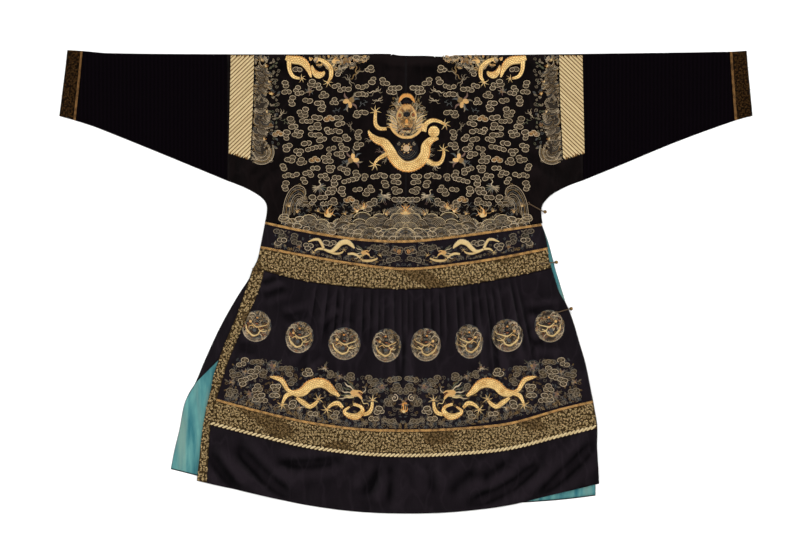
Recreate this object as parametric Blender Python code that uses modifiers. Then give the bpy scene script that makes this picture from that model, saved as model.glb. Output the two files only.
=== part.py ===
"""Chinese court robe with dragon roundels, laid flat on its front with the back uppermost.

X runs across the robe from one cuff to the other, Y from the hem to the collar, Z up from the floor.
The front lies on the floor, the back lies on the front, and trims lie on the back.
Tables are in millimetres; every point is turned to metres when its mesh is made.
"""

import math
from bisect import bisect_right
from collections import namedtuple

import bmesh
import bpy
from mathutils import Vector

MM = 0.001

# ---------------------------------------------------------------- cloth
SILK = 1.5              # interlined silk wall
TRIM = 1.0              # brocade and braid
LINING = 1.0            # lining where it shows
ROPE = 2.2              # twisted braid
SEAM_GAP = 0.3          # clearance between sewn pieces
HALF_GAP = SEAM_GAP / 2

# Heights of the middle of each layer above the floor
FRONT_MID = SILK / 2
FLAP_MID = FRONT_MID + SILK + SEAM_GAP
BACK_MID = FLAP_MID + SILK + SEAM_GAP + 0.05
LINING_MID = SILK + SEAM_GAP + LINING / 2
GORE_MID = SILK + SEAM_GAP + SILK / 2
WAIST_RISE = 1.2        # waist band above the skirt and bodice that it joins

# ---------------------------------------------------------------- outline
SLEEVE_JOIN_LEFT = -500.0
SLEEVE_JOIN_RIGHT = 496.0
OVERLAP_SIDE = 350.0    # right edge of the overlap
OVERLAP_SIDE_TOP = 222.0
NECK_CENTRE = 20.0
NECK_HALF_WIDTH = 62.0
NECK_DEPTH_FRONT = 90.0

# Shoulder fold, x across and y up
TOP_EDGE = (
    (-970, 649), (-904, 645), (-831, 639), (-500, 636), (-171, 636), (-46, 637), (-19, 632),
    (53, 631), (109, 629), (151, 633), (263, 634), (496, 637), (906, 643), (970, 647),
)
# Underside of the sleeves and underarms, x across and y up
UNDER_EDGE = (
    (-970, 463), (-924, 450), (-858, 428), (-500, 282), (-421, 247), (-397, 226), (-380, 120),
    (-340, 0), (330, 0), (370, 120), (391, 226), (415, 248), (496, 283), (589, 321),
    (763, 393), (920, 450), (970, 464),
)
# Edges of the back, y up first
Edge = namedtuple("Edge", "y x")
STRIP_OUTER = [Edge(*row) for row in (
    (-560, -585), (-499, -578), (-430, -571), (-363, -560), (-295, -544), (-267, -539),
    (-228, -527), (-161, -501), (-90, -471), (-24, -449), (32, -430))]
STRIP_INNER = [Edge(*row) for row in (
    (-560, -556), (-499, -553), (-430, -549), (-363, -539), (-295, -519), (-267, -511),
    (-228, -498), (-161, -471), (-90, -439), (-24, -411), (32, -395))]
BACK_RIGHT = [Edge(*row) for row in (
    (-560, 540), (-466, 535), (-405, 535), (-348, 526), (-307, 518), (-228, 502), (-167, 484),
    (-115, 469), (-66, 450), (-32, 430), (-3, 420), (36, 408))]
BAND_LEFT = [Edge(*row) for row in ((32, -430), (62, -415), (108, -405), (164, -394))]
BAND_RIGHT = [Edge(*row) for row in ((36, 408), (63, 400), (112, 394), (155, 381))]
FRONT_LEFT = [Edge(*row) for row in (
    (-524, -658), (-472, -648), (-414, -634), (-346, -621), (-312, -607), (-285, -590),
    (-221, -563), (-126, -519), (-41, -471), (15, -435), (62, -415), (108, -405), (164, -394))]
FRONT_RIGHT = [Edge(*row) for row in (
    (-595, 531), (-500, 530), (-420, 525), (-330, 515), (-240, 500), (-170, 480), (-90, 455),
    (-52, 445), (-3, 430), (36, 418), (63, 411), (112, 398), (155, 382))]
# Half width that the pleats fan out with
FAN = ((-560, 552), (-400, 534), (-228, 496), (36, 404))
FAN_POWER = 1.7
GORE_HEM = ((-640, -335), (-590, -285), (-529, -224), (-440, -135))

# Curved lines across the skirt: height at each station across the robe
STATIONS = (-580, -435, -290, -145, 0, 145, 290, 435, 580)
LEVELS = {
    "hem": (-558, -591, -623, -643, -649, -644, -625, -590, -556),
    "front_hem": (-545, -582, -608, -624, -630, -628, -621, -611, -593),
    "rope_braid": (-387, -424, -458, -479, -486, -481, -466, -430, -394),
    "skirt_braid": (-317, -357, -391, -412, -417, -412, -397, -357, -323),
    "border_top": (-183, -212, -241, -264, -271, -268, -251, -223, -217),
    "band_hem": (77, 41, 3, -15, -21, -12, 12, 45, 83),
    "lower_braid": (128, 101, 74, 49, 35, 48, 71, 100, 129),
    "waist": (204, 173, 142, 119, 112, 126, 146, 167, 187),
}
BRAID_WIDTH = 7.0
ROPE_WIDTH = 10.0

# ---------------------------------------------------------------- pleats and folds
# Each pleat of the skirt: x at PLEAT_Y, and the height where it has opened out
PLEAT_Y = -52.0
Pleat = namedtuple("Pleat", "x end")
PLEATS = [Pleat(*row) for row in (
    (-255, -95), (-221, -150), (-193, -155), (-173, -150), (-153, -160), (-119, -160),
    (-98, -150), (-75, -160), (-59, -155), (-32, -160), (-11, -240), (6, -150), (21, -160),
    (48, -165), (70, -150), (94, -165), (112, -150), (142, -165), (162, -155), (184, -150),
    (205, -160), (227, -245), (245, -150), (266, -160), (302, -155), (321, -200))]
PLEAT_DROP = 3.0        # width of the step at a pleat's edge
FIRST_PLEAT = 0.09      # width of the first pleat, as a share of the half width
PLEAT_STEP = 0.9        # height of the narrowest pleat
PLEAT_SLOPE = 0.045     # extra height for each mm of a pleat's width
PLEAT_FADE = 45.0       # length over which a pleat opens out
PLEAT_PRESSED = 0.3     # share of a pleat's height left where it is sewn to the waist band
PLEAT_START = 50.0      # length below the waist band over which a pleat rises

# Creases: a line, its bow to the left, the trough's half width and its depth
Crease = namedtuple("Crease", "x0 y0 x1 y1 bow width depth")
CREASES = [Crease(*row) for row in (
    (150, -632, 412, -484, -16, 20, 6.4),
    (330, -618, 545, -428, -14, 19, 6.2),
    (200, -570, 310, -496, 6, 17, 3.4),
    (112, -604, 204, -516, 4, 17, 2.6),
    (-556, -464, -450, -596, -10, 17, 5.0),
    (-486, -444, -300, -618, -12, 20, 6.4),
    (-392, -502, -160, -490, -14, 16, 3.8),
    (-66, -506, -126, -606, 5, 16, 3.2),
    (-44, -496, -46, -636, 0, 13, 2.0),
    (60, -496, 78, -604, 0, 15, 1.8),
    (-408, -14, -336, 16, 4, 11, 2.2),
    (-406, -48, -326, -16, 4, 11, 2.2),
    (-350, -102, -264, -80, -8, 12, 2.4),
    (-228, -152, -156, -94, 10, 13, 3.4),
    (-306, -262, -236, -190, 8, 14, 3.0),
    (-474, -182, -406, -191, 0, 13, 2.2),
    (-12, -306, -10, -116, 4, 13, 3.4),
    (252, -296, 234, -66, 0, 13, 3.6),
    (354, -232, 318, -64, 0, 13, 2.8),
    (318, -80, 452, -70, -6, 11, 2.2),
    (326, -178, 446, -176, 6, 13, 2.2),
    (-446, 268, -324, 350, 8, 17, 2.4),
    (446, 278, 324, 356, -8, 17, 2.4),
)]
LIP_HEIGHT = 0.75       # raised sides of a crease against its depth
SWELL = 1.1             # slow rise and fall of the cloth as it lies
BORDER_LOFT = 1.6       # air under the lower skirt
FOLD_ROLL = 3.2         # rise of the back beside the shoulder fold
FOLD_ROLL_WIDTH = 46.0
SETTLE = 0.6            # how softly a trough flattens where it meets the layer below
EDGE_WIDTH = 60.0       # width over which the back settles on the underarm edge
WAIST_TOP = 150.0       # height above which a point belongs to the bodice or a sleeve

# ---------------------------------------------------------------- closure
BALL_RADIUS = 5.0
CORD_RADIUS = 1.5
ON_BAND = WAIST_RISE + TRIM + SEAM_GAP
Toggle = namedtuple("Toggle", "tail_x tail_y edge_x edge_y cloth_x ball_x ball_y rise")
TOGGLES = [Toggle(*row) for row in (
    (346, 217, 382, 197, 378, 389.5, 195, 0), (384, 50, 405, 52.5, 400, 421, 54, ON_BAND),
    (424, -86, 456, -77, 452, 462.5, -76, 1.3))]

COLOURS = {
    "silk": (0.012, 0.010, 0.014), "sleeve": (0.006, 0.005, 0.008), "brocade": (0.22, 0.16, 0.07),
    "braid": (0.50, 0.27, 0.07), "rope": (0.62, 0.50, 0.26), "lining": (0.06, 0.30, 0.36),
    "metal": (0.45, 0.33, 0.14),
}

COLLECTION = "chinese_dragon_robe"


# ---------------------------------------------------------------- curves
def smooth(t):
    """Ease from 0 to 1 as t goes from 0 to 1."""
    t = min(max(t, 0.0), 1.0)
    return t * t * (3 - 2 * t)


def mix(a, b, t):
    """Value a share t of the way from a to b."""
    return a + (b - a) * t


def through(points, t):
    """Smooth curve through (t, value) pairs, straight beyond its ends."""
    last = len(points) - 2
    k = min(max(bisect_right([p[0] for p in points], t) - 1, 0), last)
    (t0, v0), (t1, v1) = points[k], points[k + 1]
    chord = (v1 - v0) / (t1 - t0)
    before = points[k - 1] if k > 0 else None
    after = points[k + 2] if k < last else None
    slope0 = (v1 - before[1]) / (t1 - before[0]) if before else chord
    slope1 = (after[1] - v0) / (after[0] - t0) if after else chord
    if t < t0:
        return v0 + slope0 * (t - t0)
    if t > t1:
        return v1 + slope1 * (t - t1)
    s = (t - t0) / (t1 - t0)
    span = t1 - t0
    return ((2 * s ** 3 - 3 * s ** 2 + 1) * v0 + (s ** 3 - 2 * s ** 2 + s) * span * slope0
            + (3 * s ** 2 - 2 * s ** 3) * v1 + (s ** 3 - s ** 2) * span * slope1)


def level(name, x):
    """Height up the robe of a named line at x."""
    return through(list(zip(STATIONS, LEVELS[name])), x)


def between(lower, upper, share, shift=0.0):
    """Line that lies a share of the way between two levels, moved up by shift."""
    return lambda x: mix(level(lower, x), level(upper, x), share) + shift


def crossing(row, column):
    """Point where a row, y of x, meets a column, x of y."""
    y = row(0.0)
    for _ in range(8):
        x = column(y)
        y = row(x)
    return x, y


# ---------------------------------------------------------------- relief of the back
def fan_x(share, y):
    """Place across the skirt of a line that fans out from the waist, more towards the sides."""
    waist_half = through(FAN, PLEAT_Y)
    flare = through(FAN, y) - waist_half
    return share * waist_half + math.copysign(abs(share) ** FAN_POWER, share) * flare


# Places of the pleats' edges as shares of the half width
PLEAT_SHARES = [pleat.x / through(FAN, PLEAT_Y) for pleat in PLEATS]
PLEAT_SHARES.insert(0, PLEAT_SHARES[0] - FIRST_PLEAT)


def pleat_height(x, y):
    """Height of the pleats: each rises slowly to an edge and then steps down."""
    below_band = level("band_hem", x) - y
    if below_band < 0:
        return 0.0
    edges = [fan_x(share, y) for share in PLEAT_SHARES]
    k = bisect_right(edges, x) - 1
    if k < 0 or k >= len(PLEATS):
        return 0.0
    start, end = edges[k], edges[k + 1]
    crest = end - PLEAT_DROP
    rise = (x - start) / (crest - start) if x < crest else (end - x) / PLEAT_DROP
    open_out = 1 - smooth((PLEATS[k].end + PLEAT_FADE - y) / (2 * PLEAT_FADE))
    pressed = mix(PLEAT_PRESSED, 1, smooth(below_band / PLEAT_START))
    return (PLEAT_STEP + PLEAT_SLOPE * (end - start)) * rise * open_out * pressed


def crease_height(crease, x, y):
    """Trough along a bowed line with a raised lip on each side."""
    dx, dy = crease.x1 - crease.x0, crease.y1 - crease.y0
    length = math.hypot(dx, dy)
    along = ((x - crease.x0) * dx + (y - crease.y0) * dy) / length ** 2
    if along <= 0 or along >= 1:
        return 0.0
    across = ((y - crease.y0) * dx - (x - crease.x0) * dy) / length
    across = abs(across - crease.bow * 4 * along * (1 - along)) / crease.width
    if across > 5:
        return 0.0
    taper = smooth(along / 0.3) * smooth((1 - along) / 0.3)
    lip = LIP_HEIGHT * math.exp(-((across - 2.1) / 1.2) ** 2)
    return crease.depth * taper * (lip - math.exp(-across ** 2))


def rest_height(x, y):
    """Middle of the back where it lies directly on the layers below it."""
    if y < WAIST_TOP:
        return BACK_MID
    if x < 0:
        away = smooth((-x - 120) / 260) * smooth((y - 175) / 60)
    else:
        away = smooth((x - 400) / 60)
    return mix(BACK_MID, FLAP_MID, away)


def back_height(x, y):
    """Middle of the back layer above the floor."""
    relief = SWELL * (0.5 + 0.5 * math.sin(x / 88 + 1.4 * math.sin(y / 130)) * math.cos(y / 104))
    relief += BORDER_LOFT * smooth((-200 - y) / 120)
    relief += sum(crease_height(crease, x, y) for crease in CREASES)
    lift = 0.5 * (relief + math.sqrt(relief ** 2 + SETTLE ** 2))
    if y > WAIST_TOP:
        lift *= smooth((y - through(UNDER_EDGE, x)) / EDGE_WIDTH)
        roll = FOLD_ROLL * smooth((y - through(TOP_EDGE, x)) / FOLD_ROLL_WIDTH + 1)
        return rest_height(x, y) + lift + roll
    return rest_height(x, y) + lift + pleat_height(x, y)


# ---------------------------------------------------------------- meshes
def material(name, colour, metal=0.0, rough=0.7):
    """Plain surface of one colour for one piece."""
    made = bpy.data.materials.new(name)
    made.use_nodes = True
    shader = made.node_tree.nodes["Principled BSDF"]
    shader.inputs["Base Color"].default_value = (*COLOURS[colour], 1)
    shader.inputs["Metallic"].default_value = metal
    shader.inputs["Roughness"].default_value = rough
    made.diffuse_color = (*COLOURS[colour], 1)
    return made


def add_object(name, data, colour, metal=0.0, rough=0.7):
    """Put a new object with its own material into the robe's collection."""
    made = bpy.data.objects.new(name, data)
    data.materials.append(material(name, colour, metal, rough))
    bpy.data.collections[COLLECTION].objects.link(made)
    return made


def sheet(name, columns, rows, place, thickness, colour, skip=None):
    """Cloth wall: a grid whose points are placed in mm, thickened to both sides.

    Returns the middle points and their normals, by column and row.
    """
    mesh = bpy.data.meshes.new(name)
    grid = bmesh.new()
    bmesh.ops.create_grid(grid, x_segments=columns, y_segments=rows, size=1)
    cells = {}
    for vert in grid.verts:
        cells[vert] = (round((vert.co.x + 1) / 2 * columns), round((vert.co.y + 1) / 2 * rows))
    if skip:
        gone = [face for face in grid.faces
                if skip(min(cells[v][0] for v in face.verts), min(cells[v][1] for v in face.verts))]
        bmesh.ops.delete(grid, geom=gone, context="FACES")
    points = {}
    for vert in grid.verts:
        points[cells[vert]] = Vector(place(*cells[vert]))
        vert.co = points[cells[vert]] * MM
    grid.normal_update()
    normals = {cells[vert]: vert.normal.copy() for vert in grid.verts}
    grid.to_mesh(mesh)
    grid.free()
    mesh.shade_smooth()
    made = add_object(name, mesh, colour)
    wall = made.modifiers.new("cloth", "SOLIDIFY")
    wall.thickness = thickness * MM
    wall.offset = 0
    wall.use_even_offset = True
    return points, normals


def laid_on(name, base, columns, rows, thickness, colour, base_thickness=SILK):
    """Trim made from the points of the panel below it, moved out."""
    points, normals = base
    lift = base_thickness / 2 + SEAM_GAP + thickness / 2

    def place(i, j):
        cell = (columns[i], rows[j])
        return points[cell] + normals[cell] * lift

    return sheet(name, len(columns) - 1, len(rows) - 1, place, thickness, colour)


# ---------------------------------------------------------------- bodice, sleeves and cuffs
ARC_STEPS = 4
OPEN, NECK_EDGE, NECK_INSIDE = 0, 1, 2
Column = namedtuple("Column", "x back front neck")

# Rows of the bodice from the waist up: side points, and height at the centre seam
BodiceRow = namedtuple("BodiceRow", "left_x left_y right_x right_y centre_y")
BODICE_ROWS = [BodiceRow(*row) for row in (
    (-394, 168, 382, 160, 116), (-390, 187, 379, 186, 150), (-389, 210, 380, 208, 190),
    (-397, 228, 391, 227, 232), (-421, 247, 415, 248, 276), (-458, 266, 457, 269, 322),
    (-500, 282, 496, 283, 370), (-500, 345, 496, 345, 425), (-500, 420, 496, 420, 480),
    (-500, 500, 496, 500, 532), (-500, 572, 496, 572, 582), (-500, 608, 496, 608, 611))]
FRONT_ROW_NUMBERS = (8, 6, 4, 2, 0)
LEFT_COLUMNS = (HALF_GAP, 14, 28, 42, 76, 116, 162, 212, 265, 320, 378, 438, 500 - HALF_GAP)
RIGHT_COLUMNS = (HALF_GAP, 28, 56, 82, 112, 150, 194, 244, 296, 344, 390, 436, 496 - HALF_GAP)
SLEEVE_SHARES = (0.0, 0.1, 0.26, 0.45, 0.64, 0.8, 0.92)
FRONT_SHARES = (0.72, 0.36, 0.0)
SLEEVE_COLUMNS = 9

# Cuff lines: x at the underside and at the fold, inner edge and open edge
Cuff = namedtuple("Cuff", "side join inner_low inner_top outer_low outer_top")
CUFFS = (Cuff("left", SLEEVE_JOIN_LEFT, -924, -904, -970, -947),
         Cuff("right", SLEEVE_JOIN_RIGHT, 920, 906, 970, 953))
CUFF_SHARES = (0.0, 0.14, 0.5, 1.0)


# Places of the bodice columns along the waist seam, which is straight between them
WAIST_STATIONS = sorted([BODICE_ROWS[0].left_x * x / -SLEEVE_JOIN_LEFT for x in LEFT_COLUMNS]
                        + [BODICE_ROWS[0].right_x * x / SLEEVE_JOIN_RIGHT for x in RIGHT_COLUMNS])


def waist_seam(shift):
    """Line of the seam between bodice and skirt, moved up by shift."""

    def height(x):
        k = min(max(bisect_right(WAIST_STATIONS, x), 1), len(WAIST_STATIONS) - 1)
        x0, x1 = WAIST_STATIONS[k - 1], WAIST_STATIONS[k]
        seam = mix(level("waist", x0), level("waist", x1), (x - x0) / (x1 - x0))
        return seam + BRAID_WIDTH / 2 + shift

    return height


def front_height(x):
    """Middle of the front layer: the right front lies on the overlap, the rest on the floor."""
    return FRONT_MID + (FLAP_MID - FRONT_MID) * smooth((435 - x) / 40) * (x > 0)


def neckline(x):
    """Height up the robe of the front neck edge at x."""
    across = min(abs(x - NECK_CENTRE) / NECK_HALF_WIDTH, 1)
    return through(TOP_EDGE, x) - NECK_DEPTH_FRONT * math.sqrt(1 - across ** 2)


def turn_over(x, step):
    """Point on the half round that the cloth makes over the shoulder fold at x."""
    edge = through(TOP_EDGE, x)
    back, front = back_height(x, edge), front_height(x)
    radius = (back - front) / 2
    angle = math.pi * (0.5 - step / ARC_STEPS)
    return x, edge - SILK / 2 - radius * (1 - math.cos(angle)), front + radius * (1 + math.sin(angle))


def folded(name, colour, columns):
    """Panel that lies back uppermost, turns over the shoulder fold and lies on its front."""
    turn = len(columns[0].back)
    front_start = turn + ARC_STEPS

    def place(i, j):
        column = columns[i]
        if j < turn:
            x, y = column.back[j]
            return x, y, back_height(x, y)
        if j > front_start:
            x, y = column.front[j - front_start - 1]
            return x, y, front_height(x)
        if column.neck == NECK_INSIDE and j == turn:
            edge = through(TOP_EDGE, column.x)
            return column.x, edge, back_height(column.x, edge)
        if column.neck == NECK_INSIDE:
            return column.x, neckline(column.x), front_height(column.x)
        return turn_over(column.x, j - turn)

    def skip(i, j):
        return turn <= j < front_start and columns[i].neck and columns[i + 1].neck

    rows = front_start + len(columns[0].front)
    return sheet(name, len(columns) - 1, rows, place, SILK, colour, skip), turn


def bodice_column(side, x_top):
    """Column of the bodice from the waist over the shoulder to the front waist."""
    sign = -1 if side == "left" else 1
    join = SLEEVE_JOIN_RIGHT if sign > 0 else -SLEEVE_JOIN_LEFT
    share = x_top / join

    def point(row):
        x = share * getattr(row, side + "_x")
        if row is BODICE_ROWS[0]:
            return x, waist_seam(HALF_GAP)(x)
        return x, mix(row.centre_y, getattr(row, side + "_y"), share)

    x = sign * x_top
    reach = abs(x - NECK_CENTRE) - NECK_HALF_WIDTH
    neck = NECK_EDGE if abs(reach) < SEAM_GAP else NECK_INSIDE if reach < 0 else OPEN
    return Column(x, [point(row) for row in BODICE_ROWS],
                  [point(BODICE_ROWS[n]) for n in FRONT_ROW_NUMBERS], neck)


def tube_column(line_low, line_top):
    """Column of a sleeve or cuff between its underside and the fold, along a slanted line."""

    def point(share):
        x = mix(line_low, line_top, share)
        top = turn_over(x, 0)[1]
        return x, mix(through(UNDER_EDGE, x), top, share)

    return Column(line_top, [point(s) for s in SLEEVE_SHARES], [point(s) for s in FRONT_SHARES], OPEN)


def make_bodice():
    """Left and right bodice, each back and front in one, and the overlap below the right one."""
    lefts = [bodice_column("left", x) for x in reversed(LEFT_COLUMNS)]
    rights = [bodice_column("right", x) for x in RIGHT_COLUMNS]
    folded("bodice_left", "silk", lefts)
    folded("bodice_right", "silk", rights)

    places = [x for x in WAIST_STATIONS if 0 < x < OVERLAP_SIDE] + [OVERLAP_SIDE]
    rows = 5

    def place(i, j):
        top = mix(neckline(0), OVERLAP_SIDE_TOP, smooth(places[i] / OVERLAP_SIDE))
        return places[i], mix(waist_seam(HALF_GAP)(places[i]), top, j / rows), FRONT_MID

    sheet("front_overlap", len(places) - 1, rows, place, SILK, "silk")


def make_sleeves():
    """Lower sleeves, cuffs, and the braid where each cuff joins its sleeve."""
    for cuff in CUFFS:
        sign = 1 if cuff.join > 0 else -1
        start = cuff.join + sign * HALF_GAP
        columns = []
        for i in range(SLEEVE_COLUMNS + 1):
            share = i / SLEEVE_COLUMNS
            columns.append(tube_column(mix(start, cuff.inner_low - sign * HALF_GAP, share),
                                       mix(start, cuff.inner_top - sign * HALF_GAP, share)))
        cuffs = [tube_column(mix(cuff.inner_low + sign * HALF_GAP, cuff.outer_low, share),
                             mix(cuff.inner_top + sign * HALF_GAP, cuff.outer_top, share))
                 for share in CUFF_SHARES]
        if sign < 0:
            columns.reverse()
            cuffs.reverse()
        folded("sleeve_" + cuff.side, "sleeve", columns)
        base, turn = folded("cuff_" + cuff.side, "brocade", cuffs)
        braid = (0, 1) if sign > 0 else (len(cuffs) - 2, len(cuffs) - 1)
        laid_on("cuff_braid_" + cuff.side, base, braid, range(turn + ARC_STEPS // 2 + 1), TRIM, "braid")


# ---------------------------------------------------------------- waist band
BAND_COLUMNS = 40


def make_waist_band():
    """Band between bodice and skirt, with its brocade and two braids."""
    half = BRAID_WIDTH / 2
    rows = [between("band_hem", "band_hem", 0, HALF_GAP),
            between("band_hem", "lower_braid", 0.5),
            between("lower_braid", "lower_braid", 0, -half - SEAM_GAP),
            between("lower_braid", "lower_braid", 0, -half),
            between("lower_braid", "lower_braid", 0, half),
            between("lower_braid", "waist", 0.5),
            between("waist", "waist", 0, -half),
            waist_seam(-HALF_GAP)]

    def place(i, j):
        def column(y):
            return mix(through(BAND_LEFT, y), through(BAND_RIGHT, y), i / BAND_COLUMNS)
        x, y = crossing(rows[j], column)
        return x, y, back_height(x, y) + WAIST_RISE

    band = sheet("waist_band", BAND_COLUMNS, len(rows) - 1, place, SILK, "silk")
    across = range(BAND_COLUMNS + 1)
    laid_on("waist_brocade", band, across, (0, 1, 2), TRIM, "brocade")
    laid_on("waist_braid_lower", band, across, (3, 4), TRIM, "braid")
    laid_on("waist_braid_upper", band, across, (6, 7), TRIM, "braid")


# ---------------------------------------------------------------- skirt
SIDE_COLUMNS_LEFT = (0.75, 0.5, 0.25)
SIDE_COLUMNS_RIGHT = (0.25, 0.5, 0.75, 1.0)
WIDE_PLEAT = 0.055      # pleats wider than this share get a column in their middle


def skirt_columns():
    """Lines down the skirt, x of y, from the outer edge of the side strip to the right edge."""
    first, last = PLEAT_SHARES[0], PLEAT_SHARES[-1]
    columns = [lambda y: through(STRIP_OUTER, y),
               lambda y: through(STRIP_INNER, y) - HALF_GAP,
               lambda y: through(STRIP_INNER, y) + HALF_GAP]
    for side in SIDE_COLUMNS_LEFT:
        columns.append(lambda y, t=side: mix(fan_x(first, y), through(STRIP_INNER, y), t))
    for start, end in zip(PLEAT_SHARES, PLEAT_SHARES[1:]):
        columns.append(lambda y, share=start: fan_x(share, y))
        if end - start > WIDE_PLEAT:
            columns.append(lambda y, share=(start + end) / 2: fan_x(share, y))
        columns.append(lambda y, share=end: fan_x(share, y) - PLEAT_DROP)
    columns.append(lambda y: fan_x(last, y))
    for side in SIDE_COLUMNS_RIGHT:
        columns.append(lambda y, t=side: mix(fan_x(last, y), through(BACK_RIGHT, y), t))
    return columns


def skirt_point(column, row):
    """Point of the back skirt where a line down it meets a row, with its height."""
    x, y = crossing(row, column)
    return x, y, back_height(x, y)


def make_skirt():
    """Pleated back skirt and hem band, with brocade, braids and the side strip on them."""
    columns = skirt_columns()
    half = BRAID_WIDTH / 2
    rope = ROPE_WIDTH / 2
    hem_rows = [between("hem", "rope_braid", t) for t in (0, 0.16, 0.33, 0.5, 0.67, 0.84)]
    hem_rows.append(between("rope_braid", "rope_braid", 0, -rope - HALF_GAP))
    skirt_rows = [between("rope_braid", "rope_braid", 0, -rope + HALF_GAP),
                  between("rope_braid", "rope_braid", 0, rope),
                  between("rope_braid", "rope_braid", 0, rope + SEAM_GAP),
                  between("rope_braid", "skirt_braid", 0.5),
                  between("skirt_braid", "skirt_braid", 0, -half - SEAM_GAP),
                  between("skirt_braid", "skirt_braid", 0, -half),
                  between("skirt_braid", "skirt_braid", 0, half)]
    skirt_rows += [between("skirt_braid", "border_top", t) for t in (0.36, 0.68, 1)]
    skirt_rows += [between("border_top", "band_hem", t) for t in (0.16, 0.32, 0.48, 0.64, 0.82)]
    skirt_rows.append(between("band_hem", "band_hem", 0, -HALF_GAP))

    last = len(columns) - 1
    hem = sheet("hem_band", last, len(hem_rows) - 1,
                lambda i, j: skirt_point(columns[i], hem_rows[j]), SILK, "silk")
    skirt = sheet("skirt_back", last, len(skirt_rows) - 1,
                  lambda i, j: skirt_point(columns[i], skirt_rows[j]), SILK, "silk")

    across = range(2, last + 1)
    laid_on("rope_braid", skirt, across, (0, 1), ROPE, "rope")
    laid_on("skirt_brocade", skirt, across, (2, 3, 4), TRIM, "brocade")
    laid_on("skirt_braid", skirt, across, (5, 6), TRIM, "braid")

    edge = {}
    lean = {}
    for i in (0, 1):
        for j in range(len(hem_rows)):
            edge[i, j], lean[i, j] = hem[0][i, j], hem[1][i, j]
        for j in range(len(skirt_rows)):
            edge[i, len(hem_rows) + j], lean[i, len(hem_rows) + j] = skirt[0][i, j], skirt[1][i, j]
    laid_on("side_strip", (edge, lean), (0, 1), range(len(hem_rows) + len(skirt_rows)), TRIM, "brocade")


# ---------------------------------------------------------------- front skirt, linings and gore
LINING_TUCK = 26.0      # lining under the edge of the back
LINING_INSET = 1.0
LINING_CORNER = 215.0   # lining that shows below the right end of the hem
LINING_HEM = 3.0        # black bound edge below the lining
RIPPLE = 1.1


def gore_line(x):
    """Slanted line where the side gore ends and the lining shows."""
    return through(GORE_HEM, x)


def lining_height(x, y):
    """Middle of the left lining: soft upright creases where it lies open."""
    wave = 0.5 + 0.5 * math.sin((x - 0.24 * y) / 6.8) * math.cos((x - 0.24 * y) / 17)
    return LINING_MID + RIPPLE * wave * smooth((through(STRIP_OUTER, y) - 8 - x) / 18)


def panel(name, columns, rows, left, right, low, high, height, thickness, colour):
    """Sheet between two side edges, x of y, and two lines, y of x."""

    def place(i, j):
        x, y = crossing(lambda across: mix(low(across), high(across), j / rows),
                        lambda up: mix(left(up), right(up), i / columns))
        return x, y, height(x, y)

    sheet(name, columns, rows, place, thickness, colour)


def make_front_skirt():
    """Front skirt on the floor, with the linings and the gore that show beside the back."""
    panel("skirt_front", 28, 12, lambda y: through(FRONT_LEFT, y), lambda y: through(FRONT_RIGHT, y),
          between("front_hem", "front_hem", 0), waist_seam(-HALF_GAP),
          lambda x, y: FRONT_MID, SILK, "silk")

    def left(y):
        return through(FRONT_LEFT, y) + LINING_INSET

    def tuck(y):
        return through(STRIP_OUTER, y) + LINING_TUCK

    panel("skirt_lining_left", 9, 7, left, tuck, between("front_hem", "front_hem", 0, LINING_HEM),
          lambda x: gore_line(x) - HALF_GAP, lining_height, LINING, "lining")
    panel("side_gore_left", 2, 8, left, tuck, lambda x: gore_line(x) + HALF_GAP,
          between("band_hem", "band_hem", 0, -SEAM_GAP), lambda x, y: GORE_MID, SILK, "silk")
    def corner(y):
        return through(BACK_RIGHT, y) - LINING_TUCK - LINING_CORNER * smooth((-430 - y) / 90)

    panel("skirt_lining_right", 2, 18, corner,
          lambda y: through(FRONT_RIGHT, y) - LINING_INSET,
          between("front_hem", "front_hem", 0, LINING_HEM),
          between("waist", "waist", 0, -BRAID_WIDTH), lambda x, y: LINING_MID, LINING, "lining")


# ---------------------------------------------------------------- toggles
def make_toggles():
    """Cord loops sewn to the back's right edge, each with its ball button beside the edge."""
    for number, toggle in enumerate(TOGGLES, 1):
        ball = Vector((toggle.ball_x, toggle.ball_y, BALL_RADIUS))
        top = SILK / 2 + SEAM_GAP + CORD_RADIUS + toggle.rise
        tail = Vector((toggle.tail_x, toggle.tail_y, 0))
        edge = Vector((toggle.edge_x, toggle.edge_y, 0))
        route = []
        for step in range(6):
            spot = tail.lerp(edge, step / 5)
            spot.z = back_height(min(spot.x, toggle.cloth_x), spot.y) + top
            route.append(spot)
        end = ball + (route[-1] - ball).normalized() * (BALL_RADIUS + SEAM_GAP)
        route.append(end)

        curve = bpy.data.curves.new(f"toggle_cord_{number}", "CURVE")
        curve.dimensions = "3D"
        curve.bevel_depth = CORD_RADIUS * MM
        curve.bevel_resolution = 2
        curve.use_fill_caps = True
        line = curve.splines.new("POLY")
        line.points.add(len(route) - 1)
        for point, spot in zip(line.points, route):
            point.co = (*(spot * MM), 1)
        add_object(f"toggle_cord_{number}", curve, "rope")

        mesh = bpy.data.meshes.new(f"toggle_button_{number}")
        button = bmesh.new()
        bmesh.ops.create_uvsphere(button, u_segments=12, v_segments=8, radius=BALL_RADIUS * MM)
        bmesh.ops.translate(button, verts=button.verts, vec=ball * MM)
        button.to_mesh(mesh)
        button.free()
        mesh.shade_smooth()
        add_object(f"toggle_button_{number}", mesh, "metal", metal=1.0, rough=0.35)


def main():
    """Clear the scene and make every piece of the robe."""
    for old in list(bpy.data.objects):
        bpy.data.objects.remove(old, do_unlink=True)
    bpy.context.scene.collection.children.link(bpy.data.collections.new(COLLECTION))
    make_bodice()
    make_sleeves()
    make_waist_band()
    make_skirt()
    make_front_skirt()
    make_toggles()


main()
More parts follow.
